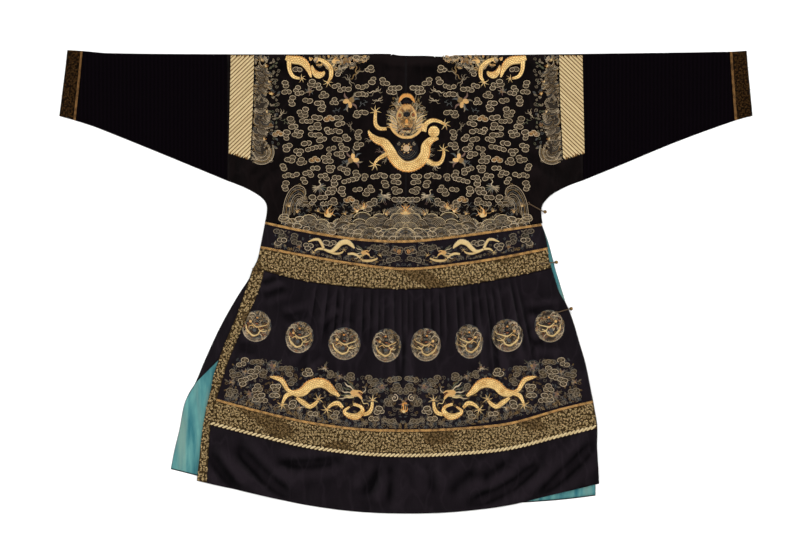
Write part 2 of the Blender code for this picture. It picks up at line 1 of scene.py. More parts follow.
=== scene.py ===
"""Court robe of black silk with couched gold dragons, lying flat on its front with the back uppermost.

Every length in the tables is in millimetres: x across the robe, y from the hem to the collar, z up from the
floor. The cloth is made as thin shells on the form of the robe's solids, and the needlework lies on the
shells.
"""

import logging
import math
from dataclasses import dataclass, field
from enum import Enum
from typing import Callable, NamedTuple, Optional, Sequence, Union

import bpy
import numpy as np
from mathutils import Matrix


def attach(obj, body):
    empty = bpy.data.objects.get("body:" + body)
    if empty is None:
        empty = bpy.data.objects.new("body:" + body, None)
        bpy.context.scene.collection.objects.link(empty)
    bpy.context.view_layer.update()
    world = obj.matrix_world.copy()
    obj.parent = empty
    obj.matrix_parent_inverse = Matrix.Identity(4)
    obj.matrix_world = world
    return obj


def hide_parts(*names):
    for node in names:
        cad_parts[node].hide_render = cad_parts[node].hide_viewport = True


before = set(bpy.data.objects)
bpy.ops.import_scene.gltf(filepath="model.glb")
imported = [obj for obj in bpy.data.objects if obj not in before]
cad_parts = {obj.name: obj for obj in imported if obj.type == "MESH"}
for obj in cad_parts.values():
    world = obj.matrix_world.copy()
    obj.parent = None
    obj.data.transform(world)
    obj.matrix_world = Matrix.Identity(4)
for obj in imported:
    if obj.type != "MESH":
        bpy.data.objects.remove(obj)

LOG = logging.getLogger("court_robe")
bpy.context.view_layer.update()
MM = 0.001
Array = np.ndarray
Line = Callable[[Array], Array]
Height = Callable[[Array, Array], Array]
Mask = Callable[[Array], Array]         # which points may be worked
Spot = Sequence[float]
Table = Sequence[Spot]
Box = tuple[float, float, float, float]     # left, low, right and high end
Tree, Shader, Piece = bpy.types.NodeTree, bpy.types.Node, bpy.types.Object

# ------------------------------------------------------------------ sizes that the solids have
SILK, TRIM, LINING = 1.5, 1.0, 1.0
SEAM_GAP = 0.3
HALF_GAP = SEAM_GAP / 2
FRONT_MID = SILK / 2
FLAP_MID = FRONT_MID + SILK + SEAM_GAP
BACK_MID = FLAP_MID + SILK + SEAM_GAP + 0.05
LINING_MID = SILK + SEAM_GAP + LINING / 2
GORE_MID = SILK + SEAM_GAP + SILK / 2
WAIST_RISE = 1.2
SLEEVE_JOIN_LEFT, SLEEVE_JOIN_RIGHT = -500.0, 496.0
OVERLAP_SIDE, OVERLAP_SIDE_TOP = 350.0, 222.0
NECK_CENTRE, NECK_HALF_WIDTH, NECK_DEPTH_FRONT = 20.0, 62.0, 90.0
BRAID_WIDTH, ROPE_WIDTH = 7.0, 10.0

TOP_EDGE = (
    (-970, 649), (-904, 645), (-831, 639), (-500, 636), (-171, 636), (-46, 637), (-19, 632),
    (53, 631), (109, 629), (151, 633), (263, 634), (496, 637), (906, 643), (970, 647))
UNDER_EDGE = (
    (-970, 463), (-924, 450), (-858, 428), (-500, 282), (-421, 247), (-397, 226), (-380, 120),
    (-340, 0), (330, 0), (370, 120), (391, 226), (415, 248), (496, 283), (589, 321),
    (763, 393), (920, 450), (970, 464))
STRIP_OUTER = (
    (-560, -585), (-499, -578), (-430, -571), (-363, -560), (-295, -544), (-267, -539),
    (-228, -527), (-161, -501), (-90, -471), (-24, -449), (32, -430))
STRIP_INNER = (
    (-560, -556), (-499, -553), (-430, -549), (-363, -539), (-295, -519), (-267, -511),
    (-228, -498), (-161, -471), (-90, -439), (-24, -411), (32, -395))
BACK_RIGHT = (
    (-560, 540), (-466, 535), (-405, 535), (-348, 526), (-307, 518), (-228, 502), (-167, 484),
    (-115, 469), (-66, 450), (-32, 430), (-3, 420), (36, 408))
BAND_LEFT = ((32, -430), (62, -415), (108, -405), (164, -394))
BAND_RIGHT = ((36, 408), (63, 400), (112, 394), (155, 381))
FRONT_LEFT = (
    (-524, -658), (-472, -648), (-414, -634), (-346, -621), (-312, -607), (-285, -590),
    (-221, -563), (-126, -519), (-41, -471), (15, -435), (62, -415), (108, -405), (164, -394))
FRONT_RIGHT = (
    (-595, 531), (-500, 530), (-420, 525), (-330, 515), (-240, 500), (-170, 480), (-90, 455),
    (-52, 445), (-3, 430), (36, 418), (63, 411), (112, 398), (155, 382))
FAN = ((-560, 552), (-400, 534), (-228, 496), (36, 404))
FAN_POWER = 1.7
GORE_HEM = ((-640, -335), (-590, -285), (-529, -224), (-440, -135))

STATIONS = (-580, -435, -290, -145, 0, 145, 290, 435, 580)
LEVELS = {
    "hem": (-558, -591, -623, -643, -649, -644, -625, -590, -556),
    "front_hem": (-545, -582, -608, -624, -630, -628, -621, -611, -593),
    "rope_braid": (-387, -424, -458, -479, -486, -481, -466, -430, -394),
    "skirt_braid": (-317, -357, -391, -412, -417, -412, -397, -357, -323),
    "border_top": (-183, -212, -241, -264, -271, -268, -251, -223, -217),
    "band_hem": (77, 41, 3, -15, -21, -12, 12, 45, 83),
    "lower_braid": (128, 101, 74, 49, 35, 48, 71, 100, 129),
    "waist": (204, 173, 142, 119, 112, 126, 146, 167, 187)}

PLEAT_Y = -52.0
PLEATS = (  # x at PLEAT_Y, and the height where the pleat has opened out
    (-255, -95), (-221, -150), (-193, -155), (-173, -150), (-153, -160), (-119, -160),
    (-98, -150), (-75, -160), (-59, -155), (-32, -160), (-11, -240), (6, -150), (21, -160),
    (48, -165), (70, -150), (94, -165), (112, -150), (142, -165), (162, -155), (184, -150),
    (205, -160), (227, -245), (245, -150), (266, -160), (302, -155), (321, -200))
PLEAT_DROP, FIRST_PLEAT, PLEAT_STEP, PLEAT_SLOPE = 3.0, 0.09, 0.9, 0.045
PLEAT_FADE, PLEAT_PRESSED, PLEAT_START = 45.0, 0.3, 50.0


class Crease(NamedTuple):
    """Trough in the cloth: its line, its bow to the left, its half width and its depth."""

    x0: float
    y0: float
    x1: float
    y1: float
    bow: float
    width: float
    depth: float


CREASES = [Crease(*row) for row in (
    (150, -632, 412, -484, -16, 20, 6.4), (330, -618, 545, -428, -14, 19, 6.2),
    (200, -570, 310, -496, 6, 17, 3.4), (112, -604, 204, -516, 4, 17, 2.6),
    (-556, -464, -450, -596, -10, 17, 5.0), (-486, -444, -300, -618, -12, 20, 6.4),
    (-392, -502, -160, -490, -14, 16, 3.8), (-66, -506, -126, -606, 5, 16, 3.2),
    (-44, -496, -46, -636, 0, 13, 2.0), (60, -496, 78, -604, 0, 15, 1.8),
    (-408, -14, -336, 16, 4, 11, 2.2), (-406, -48, -326, -16, 4, 11, 2.2),
    (-350, -102, -264, -80, -8, 12, 2.4), (-228, -152, -156, -94, 10, 13, 3.4),
    (-306, -262, -236, -190, 8, 14, 3.0), (-474, -182, -406, -191, 0, 13, 2.2),
    (-12, -306, -10, -116, 4, 13, 3.4), (252, -296, 234, -66, 0, 13, 3.6),
    (354, -232, 318, -64, 0, 13, 2.8), (318, -80, 452, -70, -6, 11, 2.2),
    (326, -178, 446, -176, 6, 13, 2.2), (-446, 268, -324, 350, 8, 17, 2.4),
    (446, 278, 324, 356, -8, 17, 2.4))]
LIP_HEIGHT, SWELL, BORDER_LOFT, SETTLE = 0.75, 1.1, 1.6, 0.6
FOLD_ROLL, FOLD_ROLL_WIDTH, EDGE_WIDTH, WAIST_TOP = 3.2, 46.0, 60.0, 150.0

# Rows of the bodice from the waist up: left x, left y, right x, right y, height at the centre seam
BODICE_ROWS = np.array((
    (-394, 168, 382, 160, 116), (-390, 187, 379, 186, 150), (-389, 210, 380, 208, 190),
    (-397, 228, 391, 227, 232), (-421, 247, 415, 248, 276), (-458, 266, 457, 269, 322),
    (-500, 282, 496, 283, 370), (-500, 345, 496, 345, 425), (-500, 420, 496, 420, 480),
    (-500, 500, 496, 500, 532), (-500, 572, 496, 572, 582), (-500, 608, 496, 608, 611)), float)
ARMPIT_ROW, NECK_ROW = 6, 8
LEFT_COLUMNS = (HALF_GAP, 14, 28, 42, 76, 116, 162, 212, 265, 320, 378, 438, 500 - HALF_GAP)
RIGHT_COLUMNS = (HALF_GAP, 28, 56, 82, 112, 150, 194, 244, 296, 344, 390, 436, 496 - HALF_GAP)
WAIST_STATIONS = np.array(sorted([BODICE_ROWS[0, 0] * x / -SLEEVE_JOIN_LEFT for x in LEFT_COLUMNS]
                                 + [BODICE_ROWS[0, 2] * x / SLEEVE_JOIN_RIGHT for x in RIGHT_COLUMNS]))
GRID = 5.6              # spacing of the points of the cloth shells


# ------------------------------------------------------------------ curves and relief
def smooth(t: Array) -> Array:
    """Ease from 0 to 1 as t goes from 0 to 1."""
    t = np.clip(t, 0.0, 1.0)
    return t * t * (3 - 2 * t)


def mix(a: Array, b: Array, t: Array) -> Array:
    """Value a share t of the way from a to b."""
    return a + (b - a) * t


def through(points: Table, t: Array) -> Array:
    """Smooth curve through (t, value) pairs, straight beyond its ends.

    Args:
        points: pairs in rising order of t.
        t: places to read the curve at.

    Returns:
        The values at those places.
    """
    table = np.asarray(points, float)
    at, value = table[:, 0], table[:, 1]
    chords = np.diff(value) / np.diff(at)
    slopes = np.concatenate(([chords[0]], (value[2:] - value[:-2]) / (at[2:] - at[:-2]), [chords[-1]]))
    t = np.asarray(t, float)
    k = np.clip(np.searchsorted(at, t, side="right") - 1, 0, len(at) - 2)
    span = at[k + 1] - at[k]
    s = np.clip((t - at[k]) / span, 0, 1)
    curve = ((2 * s ** 3 - 3 * s ** 2 + 1) * value[k] + (s ** 3 - 2 * s ** 2 + s) * span * slopes[k]
             + (3 * s ** 2 - 2 * s ** 3) * value[k + 1] + (s ** 3 - s ** 2) * span * slopes[k + 1])
    beyond = np.minimum(t - at[0], 0) * slopes[0] + np.maximum(t - at[-1], 0) * slopes[-1]
    return curve + beyond


def everywhere(points: Array) -> Array:
    """Mask that lets every point be worked."""
    return np.ones(len(points), bool)


def level(name: str, x: Array) -> Array:
    """Height up the robe of a named line at x."""
    return through(list(zip(STATIONS, LEVELS[name])), x)


def level_line(name: str, shift: float = 0.0) -> Line:
    """A named line across the robe, moved up by shift."""
    return lambda x: level(name, x) + shift


def fan_x(share: Array, y: Array) -> Array:
    """Place across the skirt of a line that fans out from the waist, more towards the sides."""
    waist_half = through(FAN, PLEAT_Y)
    flare = through(FAN, y) - waist_half
    return share * waist_half + np.copysign(np.abs(share) ** FAN_POWER, share) * flare


PLEAT_SHARES = [x / float(through(FAN, PLEAT_Y)) for x, _ in PLEATS]
PLEAT_SHARES.insert(0, PLEAT_SHARES[0] - FIRST_PLEAT)


def pleat_height(x: Array, y: Array) -> Array:
    """Height of the pleats: each rises slowly to an edge and then steps down."""
    below_band = level("band_hem", x) - y
    pressed = mix(PLEAT_PRESSED, 1, smooth(below_band / PLEAT_START)) * (below_band >= 0)
    height = np.zeros_like(x)
    for (_, end_y), low, high in zip(PLEATS, PLEAT_SHARES, PLEAT_SHARES[1:]):
        start, end = fan_x(low, y), fan_x(high, y)
        crest = end - PLEAT_DROP
        rise = np.where(x < crest, (x - start) / (crest - start), (end - x) / PLEAT_DROP)
        open_out = 1 - smooth((end_y + PLEAT_FADE - y) / (2 * PLEAT_FADE))
        inside = (x >= start) & (x < end)
        height += np.where(inside, (PLEAT_STEP + PLEAT_SLOPE * (end - start)) * rise * open_out, 0)
    return height * pressed


def crease_height(crease: Crease, x: Array, y: Array) -> Array:
    """Trough along a bowed line with a raised lip on each side."""
    dx, dy = crease.x1 - crease.x0, crease.y1 - crease.y0
    length = math.hypot(dx, dy)
    along = ((x - crease.x0) * dx + (y - crease.y0) * dy) / length ** 2
    across = ((y - crease.y0) * dx - (x - crease.x0) * dy) / length
    across = np.abs(across - crease.bow * 4 * along * (1 - along)) / crease.width
    taper = smooth(along / 0.3) * smooth((1 - along) / 0.3)
    lip = LIP_HEIGHT * np.exp(-((across - 2.1) / 1.2) ** 2)
    height = crease.depth * taper * (lip - np.exp(-across ** 2))
    return np.where((along > 0) & (along < 1) & (across <= 5), height, 0)


def rest_height(x: Array, y: Array) -> Array:
    """Middle of the back where it lies directly on the layers below it."""
    left = smooth((-x - 120) / 260) * smooth((y - 175) / 60)
    away = np.where(x < 0, left, smooth((x - 400) / 60))
    return np.where(y < WAIST_TOP, BACK_MID, mix(BACK_MID, FLAP_MID, away))


def back_height(x: Array, y: Array) -> Array:
    """Middle of the back layer above the floor."""
    x, y = np.broadcast_arrays(np.asarray(x, float), np.asarray(y, float))
    relief = SWELL * (0.5 + 0.5 * np.sin(x / 88 + 1.4 * np.sin(y / 130)) * np.cos(y / 104))
    relief = relief + BORDER_LOFT * smooth((-200 - y) / 120)
    for crease in CREASES:
        relief = relief + crease_height(crease, x, y)
    lift = 0.5 * (relief + np.sqrt(relief ** 2 + SETTLE ** 2))
    high = y > WAIST_TOP
    lift = lift * np.where(high, smooth((y - through(UNDER_EDGE, x)) / EDGE_WIDTH), 1)
    roll = FOLD_ROLL * smooth((y - through(TOP_EDGE, x)) / FOLD_ROLL_WIDTH + 1)
    return rest_height(x, y) + lift + np.where(high, roll, pleat_height(x, y))


def band_height(x: Array, y: Array) -> Array:
    """Middle of the waist band above the floor."""
    return back_height(x, y) + WAIST_RISE


def front_height(x: Array) -> Array:
    """Middle of the front layer: the right front lies on the overlap, the rest on the floor."""
    return FRONT_MID + (FLAP_MID - FRONT_MID) * smooth((435 - x) / 40) * (np.asarray(x) > 0)


def neckline(x: Array) -> Array:
    """Height up the robe of the front neck edge at x."""
    across = np.minimum(np.abs(x - NECK_CENTRE) / NECK_HALF_WIDTH, 1)
    return through(TOP_EDGE, x) - NECK_DEPTH_FRONT * np.sqrt(1 - across ** 2)


def waist_seam(shift: float) -> Line:
    """Line of the seam between bodice and skirt, moved up by shift."""
    heights = level("waist", WAIST_STATIONS)
    return lambda x: np.interp(x, WAIST_STATIONS, heights) + BRAID_WIDTH / 2 + shift


def turn_over(x: Array, turn: Array) -> Array:
    """Points on the half round that the cloth makes over the shoulder fold.

    Args:
        x: place across the robe.
        turn: 0 where the back ends, 1 where the front starts.

    Returns:
        The points, with x, y and z in the last axis.
    """
    x, turn = np.broadcast_arrays(np.asarray(x, float), np.asarray(turn, float))
    edge = through(TOP_EDGE, x)
    front = front_height(x)
    radius = (back_height(x, edge) - front) / 2
    angle = np.pi * (0.5 - turn)
    return np.stack((x, edge - SILK / 2 - radius * (1 - np.cos(angle)),
                     front + radius * (1 + np.sin(angle))), -1)


def spaced(start: float, end: float, step: float = GRID) -> Array:
    """Evenly spaced places from start to end, about a step apart."""
    return np.linspace(start, end, max(2, round(abs(end - start) / step) + 1))


# ------------------------------------------------------------------ meshes
def fill_mesh(mesh: bpy.types.Mesh, points: Array, quads: Array, triangles: Optional[Array] = None,
              slots: Optional[Array] = None) -> None:
    """Put points and faces into an empty mesh.

    Args:
        mesh: the mesh.
        points: places in mm, one row each.
        quads: four point numbers a face.
        triangles: three point numbers a face.
        slots: material number of every face, quads first.
    """
    triangles = np.zeros((0, 3), int) if triangles is None else triangles
    corners = np.concatenate((quads.ravel(), triangles.ravel())).astype(np.int32)
    starts = np.concatenate((np.arange(len(quads)) * 4, len(quads) * 4 + np.arange(len(triangles)) * 3))
    mesh.vertices.add(len(points))
    mesh.vertices.foreach_set("co", (points * MM).astype(np.float32).ravel())
    mesh.loops.add(len(corners))
    mesh.loops.foreach_set("vertex_index", corners)
    mesh.polygons.add(len(starts))
    mesh.polygons.foreach_set("loop_start", starts.astype(np.int32))
    if slots is not None:
        mesh.polygons.foreach_set("material_index", slots.astype(np.int32))
    mesh.update(calc_edges=True)
    mesh.validate()
    mesh.shade_smooth()


def grid_quads(columns: int, rows: int, skip: Optional[Array] = None) -> Array:
    """Faces of a grid whose points are numbered along the rows of each column.

    Args:
        columns: number of columns of points.
        rows: number of points in a column.
        skip: faces to leave out, as a mask of columns - 1 by rows - 1.

    Returns:
        Four point numbers a face.
    """
    first = np.arange(columns * rows).reshape(columns, rows)[:-1, :-1]
    keep = np.ones(first.shape, bool) if skip is None else ~skip
    first = first[keep]
    return np.stack((first, first + rows, first + rows + 1, first + 1), -1)


def add_piece(name: str, data: bpy.types.ID, finishes: Sequence["Finish"], slot: Optional[str] = None,
              *nodes: str) -> Piece:
    """Put a piece into the scene, let it ride on the robe and dress it.

    Args:
        name: name of the piece.
        data: its mesh or curve.
        finishes: its finishes, in the order of its material numbers.
        slot: the record's material slot, where it has one; not used.
        nodes: solids that it stands for.

    Returns:
        The piece.
    """
    made = bpy.data.objects.new(name, data)
    bpy.context.scene.collection.objects.link(made)
    for finish in finishes:
        data.materials.append(finish.material())
    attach(made, "root")
    if nodes:
        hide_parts(*nodes)
    return made


def above_surroundings(points: Array, reach: int = 3) -> Array:
    """How far, in mm, each point of a grid stands above the points around it."""
    size = 2 * reach + 1
    padded = np.pad(points[..., 2], reach, mode="edge")
    windows = np.lib.stride_tricks.sliding_window_view(padded, (size, size))
    return points[..., 2] - windows.mean((2, 3))


@dataclass
class Cloth:
    """A cut piece of cloth: its name, size and finish, and the solid that it stands for."""

    name: str
    finish: "Finish"
    slot: str
    flat: tuple[float, float]
    thickness: float = SILK
    rests_on: tuple[str, ...] = ()
    area: float = 0.0
    made: Optional[Piece] = None

    def lay(self, points: Array, skip: Optional[Array] = None) -> "Cloth":
        """Make the shell through a grid of middle points.

        Args:
            points: columns by rows by 3, in mm.
            skip: faces to leave out.

        Returns:
            The cloth itself.
        """
        columns, rows = points.shape[:2]
        mesh = bpy.data.meshes.new(self.name + "_cloth")
        quads = grid_quads(columns, rows, skip)
        flat_points = points.reshape(-1, 3)
        fill_mesh(mesh, flat_points, quads)
        # height above the surroundings; the black silk paints shade in hollows and highlights on ridges from
        # it
        rise = mesh.attributes.new("rise", "FLOAT", "POINT")
        rise.data.foreach_set("value", above_surroundings(points).astype(np.float32).ravel())
        self.made = add_piece(self.name + "_cloth", mesh, [self.finish], self.slot, self.name)
        wall = self.made.modifiers.new("wall", "SOLIDIFY")
        wall.thickness = self.thickness * MM
        wall.offset = 0
        wall.use_even_offset = True
        corners = flat_points[quads] * MM
        halves = np.cross(corners[:, 2] - corners[:, 0], corners[:, 3] - corners[:, 1])
        self.area = round(float(np.linalg.norm(halves, axis=1).sum() / 2), 4)
        LOG.info("%s: %d faces, %.3f square metres of cloth", self.made.name, len(quads), self.area)
        return self

    def declare(self, *trims: Piece) -> None:
        """Take the trims sewn on the cloth; nothing is done with them."""


# ------------------------------------------------------------------ finishes
Socket = bpy.types.NodeSocket
Value = Union[Socket, float, tuple]
STRIPE_CYCLE = 0.314159         # a band of the wave texture at scale 1, in metres


def linear(code: str, share: float = 1.0) -> tuple[float, float, float, float]:
    """sRGB hex colour as linear light, darkened by share."""
    parts = [int(code[i:i + 2], 16) / 255 for i in (1, 3, 5)]
    red, green, blue = [(c / 12.92 if c <= 0.04045 else ((c + 0.055) / 1.055) ** 2.4) * share for c in parts]
    return red, green, blue, 1.0


def add_node(tree: Tree, kind: str, inputs: Optional[dict] = None, **settings: object) -> Shader:
    """Add a shader node, with its settings, values and links.

    Args:
        tree: node tree that takes it.
        kind: node type without its "ShaderNode" prefix.
        inputs: for each input's name or number, a value or the output that feeds it.
        settings: properties of the node.

    Returns:
        The node.
    """
    node = tree.nodes.new("ShaderNode" + kind)
    for name, setting in settings.items():
        setattr(node, name, setting)
    for key, value in (inputs or {}).items():
        if isinstance(value, Socket):
            tree.links.new(value, node.inputs[key])
        else:
            node.inputs[key].default_value = value
    return node


class Finish:
    """A finish that is made once and shared by all the pieces that wear it."""

    label = "finish"

    def material(self) -> bpy.types.Material:
        """The finish as a node material."""
        made = bpy.data.materials.get(self.label)
        if made is None:
            made = bpy.data.materials.new(self.label)
            made.use_nodes = True
            tree = made.node_tree
            tree.nodes.clear()
            shader = add_node(tree, "BsdfPrincipled")
            add_node(tree, "OutputMaterial", {"Surface": shader.outputs["BSDF"]})
            self.dress(tree, shader)
        return made

    def dress(self, tree: Tree, shader: Shader) -> None:
        """Give the shader its colour, gloss and relief."""

    def set(self, shader: Shader, **values: Value) -> None:
        """Set constant inputs of the shader, with _ for a space in their names."""
        for name, value in values.items():
            shader.inputs[name.replace("_", " ")].default_value = value

    def place(self, tree: Tree, turn: float = 0.0, stretch: tuple[float, float, float] = (1, 1, 1)) -> Socket:
        """Place on the robe in metres, turned about z and stretched."""
        where = add_node(tree, "TexCoord").outputs["Object"]
        inputs = {"Vector": where, "Rotation": (0, 0, turn), "Scale": stretch}
        return add_node(tree, "Mapping", inputs).outputs[0]

    def noise(self, tree: Tree, where: Socket, size_mm: float, detail: float = 2.0) -> Socket:
        """Cloudy noise of a given size in millimetres, from 0 to 1."""
        inputs = {"Vector": where, "Scale": 1 / (size_mm * MM), "Detail": detail}
        return add_node(tree, "TexNoise", inputs).outputs[0]

    def stripes(self, tree: Tree, where: Socket, pitch_mm: float, direction: str = "X",
                distortion: float = 0.0) -> Socket:
        """Soft stripes at a given pitch in millimetres, from 0 to 1."""
        return add_node(tree, "TexWave", {"Vector": where, "Scale": STRIPE_CYCLE / (pitch_mm * MM),
                                          "Distortion": distortion}, bands_direction=direction).outputs["Fac"]

    def ramp(self, tree: Tree, fac: Socket, dark: tuple, light: tuple, low: float = 0.0,
             high: float = 1.0) -> Socket:
        """Colour between two, as fac goes from low to high."""
        node = add_node(tree, "ValToRGB", {"Fac": fac})
        for stop, where, colour in zip(node.color_ramp.elements, (low, high), (dark, light)):
            stop.position = where
            stop.color = colour
        return node.outputs["Color"]

    def blend(self, tree: Tree, fac: Value, first: Value, second: Value, mode: str = "MIX") -> Socket:
        """Two colours mixed by fac."""
        node = add_node(tree, "Mix", {0: fac, 6: first, 7: second}, data_type="RGBA", blend_type=mode)
        return node.outputs[2]

    def sum(self, tree: Tree, first: Value, second: Value, operation: str = "ADD") -> Socket:
        """Two numbers added, or joined by another operation."""
        return add_node(tree, "Math", {0: first, 1: second}, operation=operation).outputs[0]

    def times(self, tree: Tree, value: Value, weight: Value) -> Socket:
        """One number times another."""
        return self.sum(tree, value, weight, "MULTIPLY")

    def weighted(self, tree: Tree, *parts: tuple[Socket, float]) -> Socket:
        """Sum of the parts, each times its weight."""
        total = self.times(tree, *parts[0])
        for part, weight in parts[1:]:
            total = self.sum(tree, total, self.times(tree, part, weight))
        return total

    def relief(self, tree: Tree, shader: Shader, height: Socket, depth_mm: float) -> None:
        """Bump of a given depth in millimetres."""
        bump = add_node(tree, "Bump", {"Height": height, "Distance": depth_mm * MM, "Strength": 1.0})
        tree.links.new(bump.outputs["Normal"], shader.inputs["Normal"])


@dataclass(frozen=True)
class SilkSatin(Finish):
    """Black silk satin over a cotton interlining: nearly black, with painted shade in its hollows and painted
    highlights on its folds and creases.
    """

    label: str = "black_silk_satin"
    # colours of the painted shade in hollows and of the painted highlight on folds and ridges
    painted_shade: str = "#030203"
    painted_highlight: str = "#1a1519"
    weave_mm: float = 1.3       # the real twill is 0.2 mm, drawn coarser so that it shows
    pucker_mm: float = 26.0
    crease_mm: float = 62.0
    specular: float = 0.025
    rough: float = 0.42

    def dress(self, tree: Tree, shader: Shader) -> None:
        """Painted shade in hollows and painted highlights on ridges, painted bands of fold shade and
        highlight, painted highlights along thin creases, slow puckers of the interlining and fine twill
        lines.
        """
        twill = self.stripes(tree, self.place(tree, 0.96), self.weave_mm, distortion=0.4)
        pucker = self.noise(tree, self.place(tree, 0.3, (1, 0.55, 1)), self.pucker_mm, 3)
        folds = self.noise(tree, self.place(tree, 0.9, (1, 0.3, 1)), 110, 3)
        crinkle = self.noise(tree, self.place(tree, -0.6, (1, 0.35, 1)), 24, 4)
        # painted shade and highlight: the rise above the surroundings darkens hollows and lightens ridges
        rise = add_node(tree, "Attribute", attribute_name="rise").outputs["Fac"]
        # the fold, crinkle and pucker noise paints bands of shade and highlight, and the creases paint thin
        # highlight lines
        share = self.weighted(tree, (rise, 0.32), (folds, 0.45), (crinkle, 0.3), (pucker, 0.25), (twill, 0.1),
                              (self.creases(tree), 6.0))
        tree.links.new(self.ramp(tree, share, linear(self.painted_shade), linear(self.painted_highlight), 0.1, 1.0),
                       shader.inputs["Base Color"])
        puckers = self.sum(tree, crinkle, self.sum(tree, pucker, folds))
        self.relief(tree, shader, self.sum(tree, self.times(tree, twill, 0.03), puckers), 2.4)
        self.set(shader, Roughness=self.rough, Specular_IOR_Level=self.specular)

    def creases(self, tree: Tree) -> Socket:
        """Thin wandering creases, up to 0.04 on their crests and 0 between them; they carry painted
        highlights.
        """
        slow = self.noise(tree, self.place(tree, 0.5, (1, 0.45, 1)), self.crease_mm, 2)
        away = self.sum(tree, self.sum(tree, slow, 0.5, "SUBTRACT"), 0.0, "ABSOLUTE")
        return self.sum(tree, self.sum(tree, 0.04, away, "SUBTRACT"), 0.0, "MAXIMUM")


@dataclass(frozen=True)
class RibbedSilk(Finish):
    """Black ribbed silk of the lower sleeves: woven ribs across the arm swallow the light."""

    label: str = "black_ribbed_silk"
    face: str = "#040204"
    rib_mm: float = 11.0        # ribs 3 mm apart in the cloth, drawn coarser so that they show

    def dress(self, tree: Tree, shader: Shader) -> None:
        """Upright ribs with a little dust in patches."""
        where = self.place(tree)
        ribs = self.stripes(tree, where, self.rib_mm, distortion=0.6)
        dust = self.noise(tree, where, 60, 4)
        ribbed = self.ramp(tree, ribs, linear(self.face, 0.65), linear(self.face, 1.3))
        tree.links.new(self.blend(tree, self.times(tree, dust, 0.3), ribbed, linear("#070406")),
                       shader.inputs["Base Color"])
        self.relief(tree, shader, self.sum(tree, ribs, self.noise(tree, where, 20, 3)), 0.5)
        self.set(shader, Roughness=0.7, Specular_IOR_Level=0.008)


@dataclass(frozen=True)
class BrocadeGround(Finish):
    """Ground of the gold brocade: dark silk with a fine cross rib and stray gold wefts."""

    label: str = "brocade_ground"
    dark: str = "#180f07"
    gold: str = "#4b3917"
    specular: float = 0.06
    weft_mm: float = 1.6        # wefts 0.4 mm apart, drawn coarser so that they show

    def dress(self, tree: Tree, shader: Shader) -> None:
        """Cross ribs, with gold wefts that come to the face in patches."""
        where = self.place(tree)
        weft = self.stripes(tree, where, self.weft_mm, "Y")
        patches = self.noise(tree, where, 7, 3)
        share = self.times(tree, weft, patches)
        tree.links.new(self.ramp(tree, share, linear(self.dark), linear(self.gold), 0.12, 0.75),
                       shader.inputs["Base Color"])
        self.relief(tree, shader, self.sum(tree, weft, patches), 0.2)
        self.set(shader, Roughness=0.6, Specular_IOR_Level=self.specular)


@dataclass(frozen=True)
class WovenBraid(Finish):
    """Flat braid of orange silk and gilt thread: slanted plaits that catch a warm light."""

    label: str = "gilt_braid"
    dark: str = "#3a240d"
    light: str = "#ab824a"
    gloss: float = 0.2
    plait_mm: float = 3.4

    def dress(self, tree: Tree, shader: Shader) -> None:
        """Two sets of slanted plaits that cross."""
        up = self.stripes(tree, self.place(tree, 0.78), self.plait_mm)
        down = self.stripes(tree, self.place(tree, -0.78), self.plait_mm)
        plait = self.sum(tree, up, down, "MAXIMUM")
        wear = self.noise(tree, self.place(tree), 11, 3)
        share = self.sum(tree, self.times(tree, plait, 0.45), wear)
        tree.links.new(self.ramp(tree, share, linear(self.dark), linear(self.light), 0.6, 1.1),
                       shader.inputs["Base Color"])
        self.relief(tree, shader, plait, 0.5)
        self.set(shader, Roughness=0.5, Metallic=0.2, Specular_IOR_Level=self.gloss)


@dataclass(frozen=True)
class LiningSilk(Finish):
    """Turquoise lining of thin plain silk: bright, slightly faded, with fine upright creases and painted
    shade along its folds.
    """

    label: str = "turquoise_lining_silk"
    face: str = "#2c6870"
    faded: str = "#568681"
    stain: str = "#6b8478"
    slub_mm: float = 2.4        # slubs of 0.5 mm, drawn coarser so that they show

    def dress(self, tree: Tree, shader: Shader) -> None:
        """Slubs along the weft, faded streaks, stains, painted shade along the folds and small creases."""
        where = self.place(tree, -0.23, (1, 0.16, 1))
        streaks = self.noise(tree, where, 14, 4)
        folds = self.noise(tree, self.place(tree, -0.23, (1, 0.1, 1)), 30, 2)
        slubs = self.noise(tree, self.place(tree, 0, (0.2, 1, 1)), self.slub_mm, 2)
        faded = self.ramp(tree, streaks, linear(self.face, 0.72), linear(self.faded), 0.33, 0.68)
        stained = self.ramp(tree, folds, (0, 0, 0, 1), (0.75, 0.75, 0.75, 1), 0.5, 0.66)
        faded = self.blend(tree, stained, faded, linear(self.stain))
        # painted shade: where the fold noise is low the colour darkens towards a shaded turquoise; from here
        # the faded colour also holds this painted shade
        shaded = self.ramp(tree, folds, (0.6, 0.6, 0.6, 1), (0, 0, 0, 1), 0.36, 0.46)
        faded = self.blend(tree, shaded, faded, linear(self.face, 0.55))
        tree.links.new(self.blend(tree, self.times(tree, slubs, 0.2), faded, linear("#2a6673")),
                       shader.inputs["Base Color"])
        self.relief(tree, shader, self.sum(tree, streaks, self.times(tree, slubs, 0.15)), 1.2)
        self.set(shader, Roughness=0.45, Specular_IOR_Level=0.1)


@dataclass(frozen=True)
class GiltBrass(Finish):
    """Cast gilt brass of the ball buttons: dark warm metal, worn brighter in patches."""

    label: str = "gilt_brass"
    bright: str = "#86673c"
    dull: str = "#35240f"

    def dress(self, tree: Tree, shader: Shader) -> None:
        """Rubbed gilding with small pits."""
        wear = self.noise(tree, self.place(tree), 2.2, 4)
        tree.links.new(self.ramp(tree, wear, linear(self.dull), linear(self.bright), 0.35, 0.62),
                       shader.inputs["Base Color"])
        self.relief(tree, shader, wear, 0.15)
        self.set(shader, Roughness=0.36, Metallic=1.0)


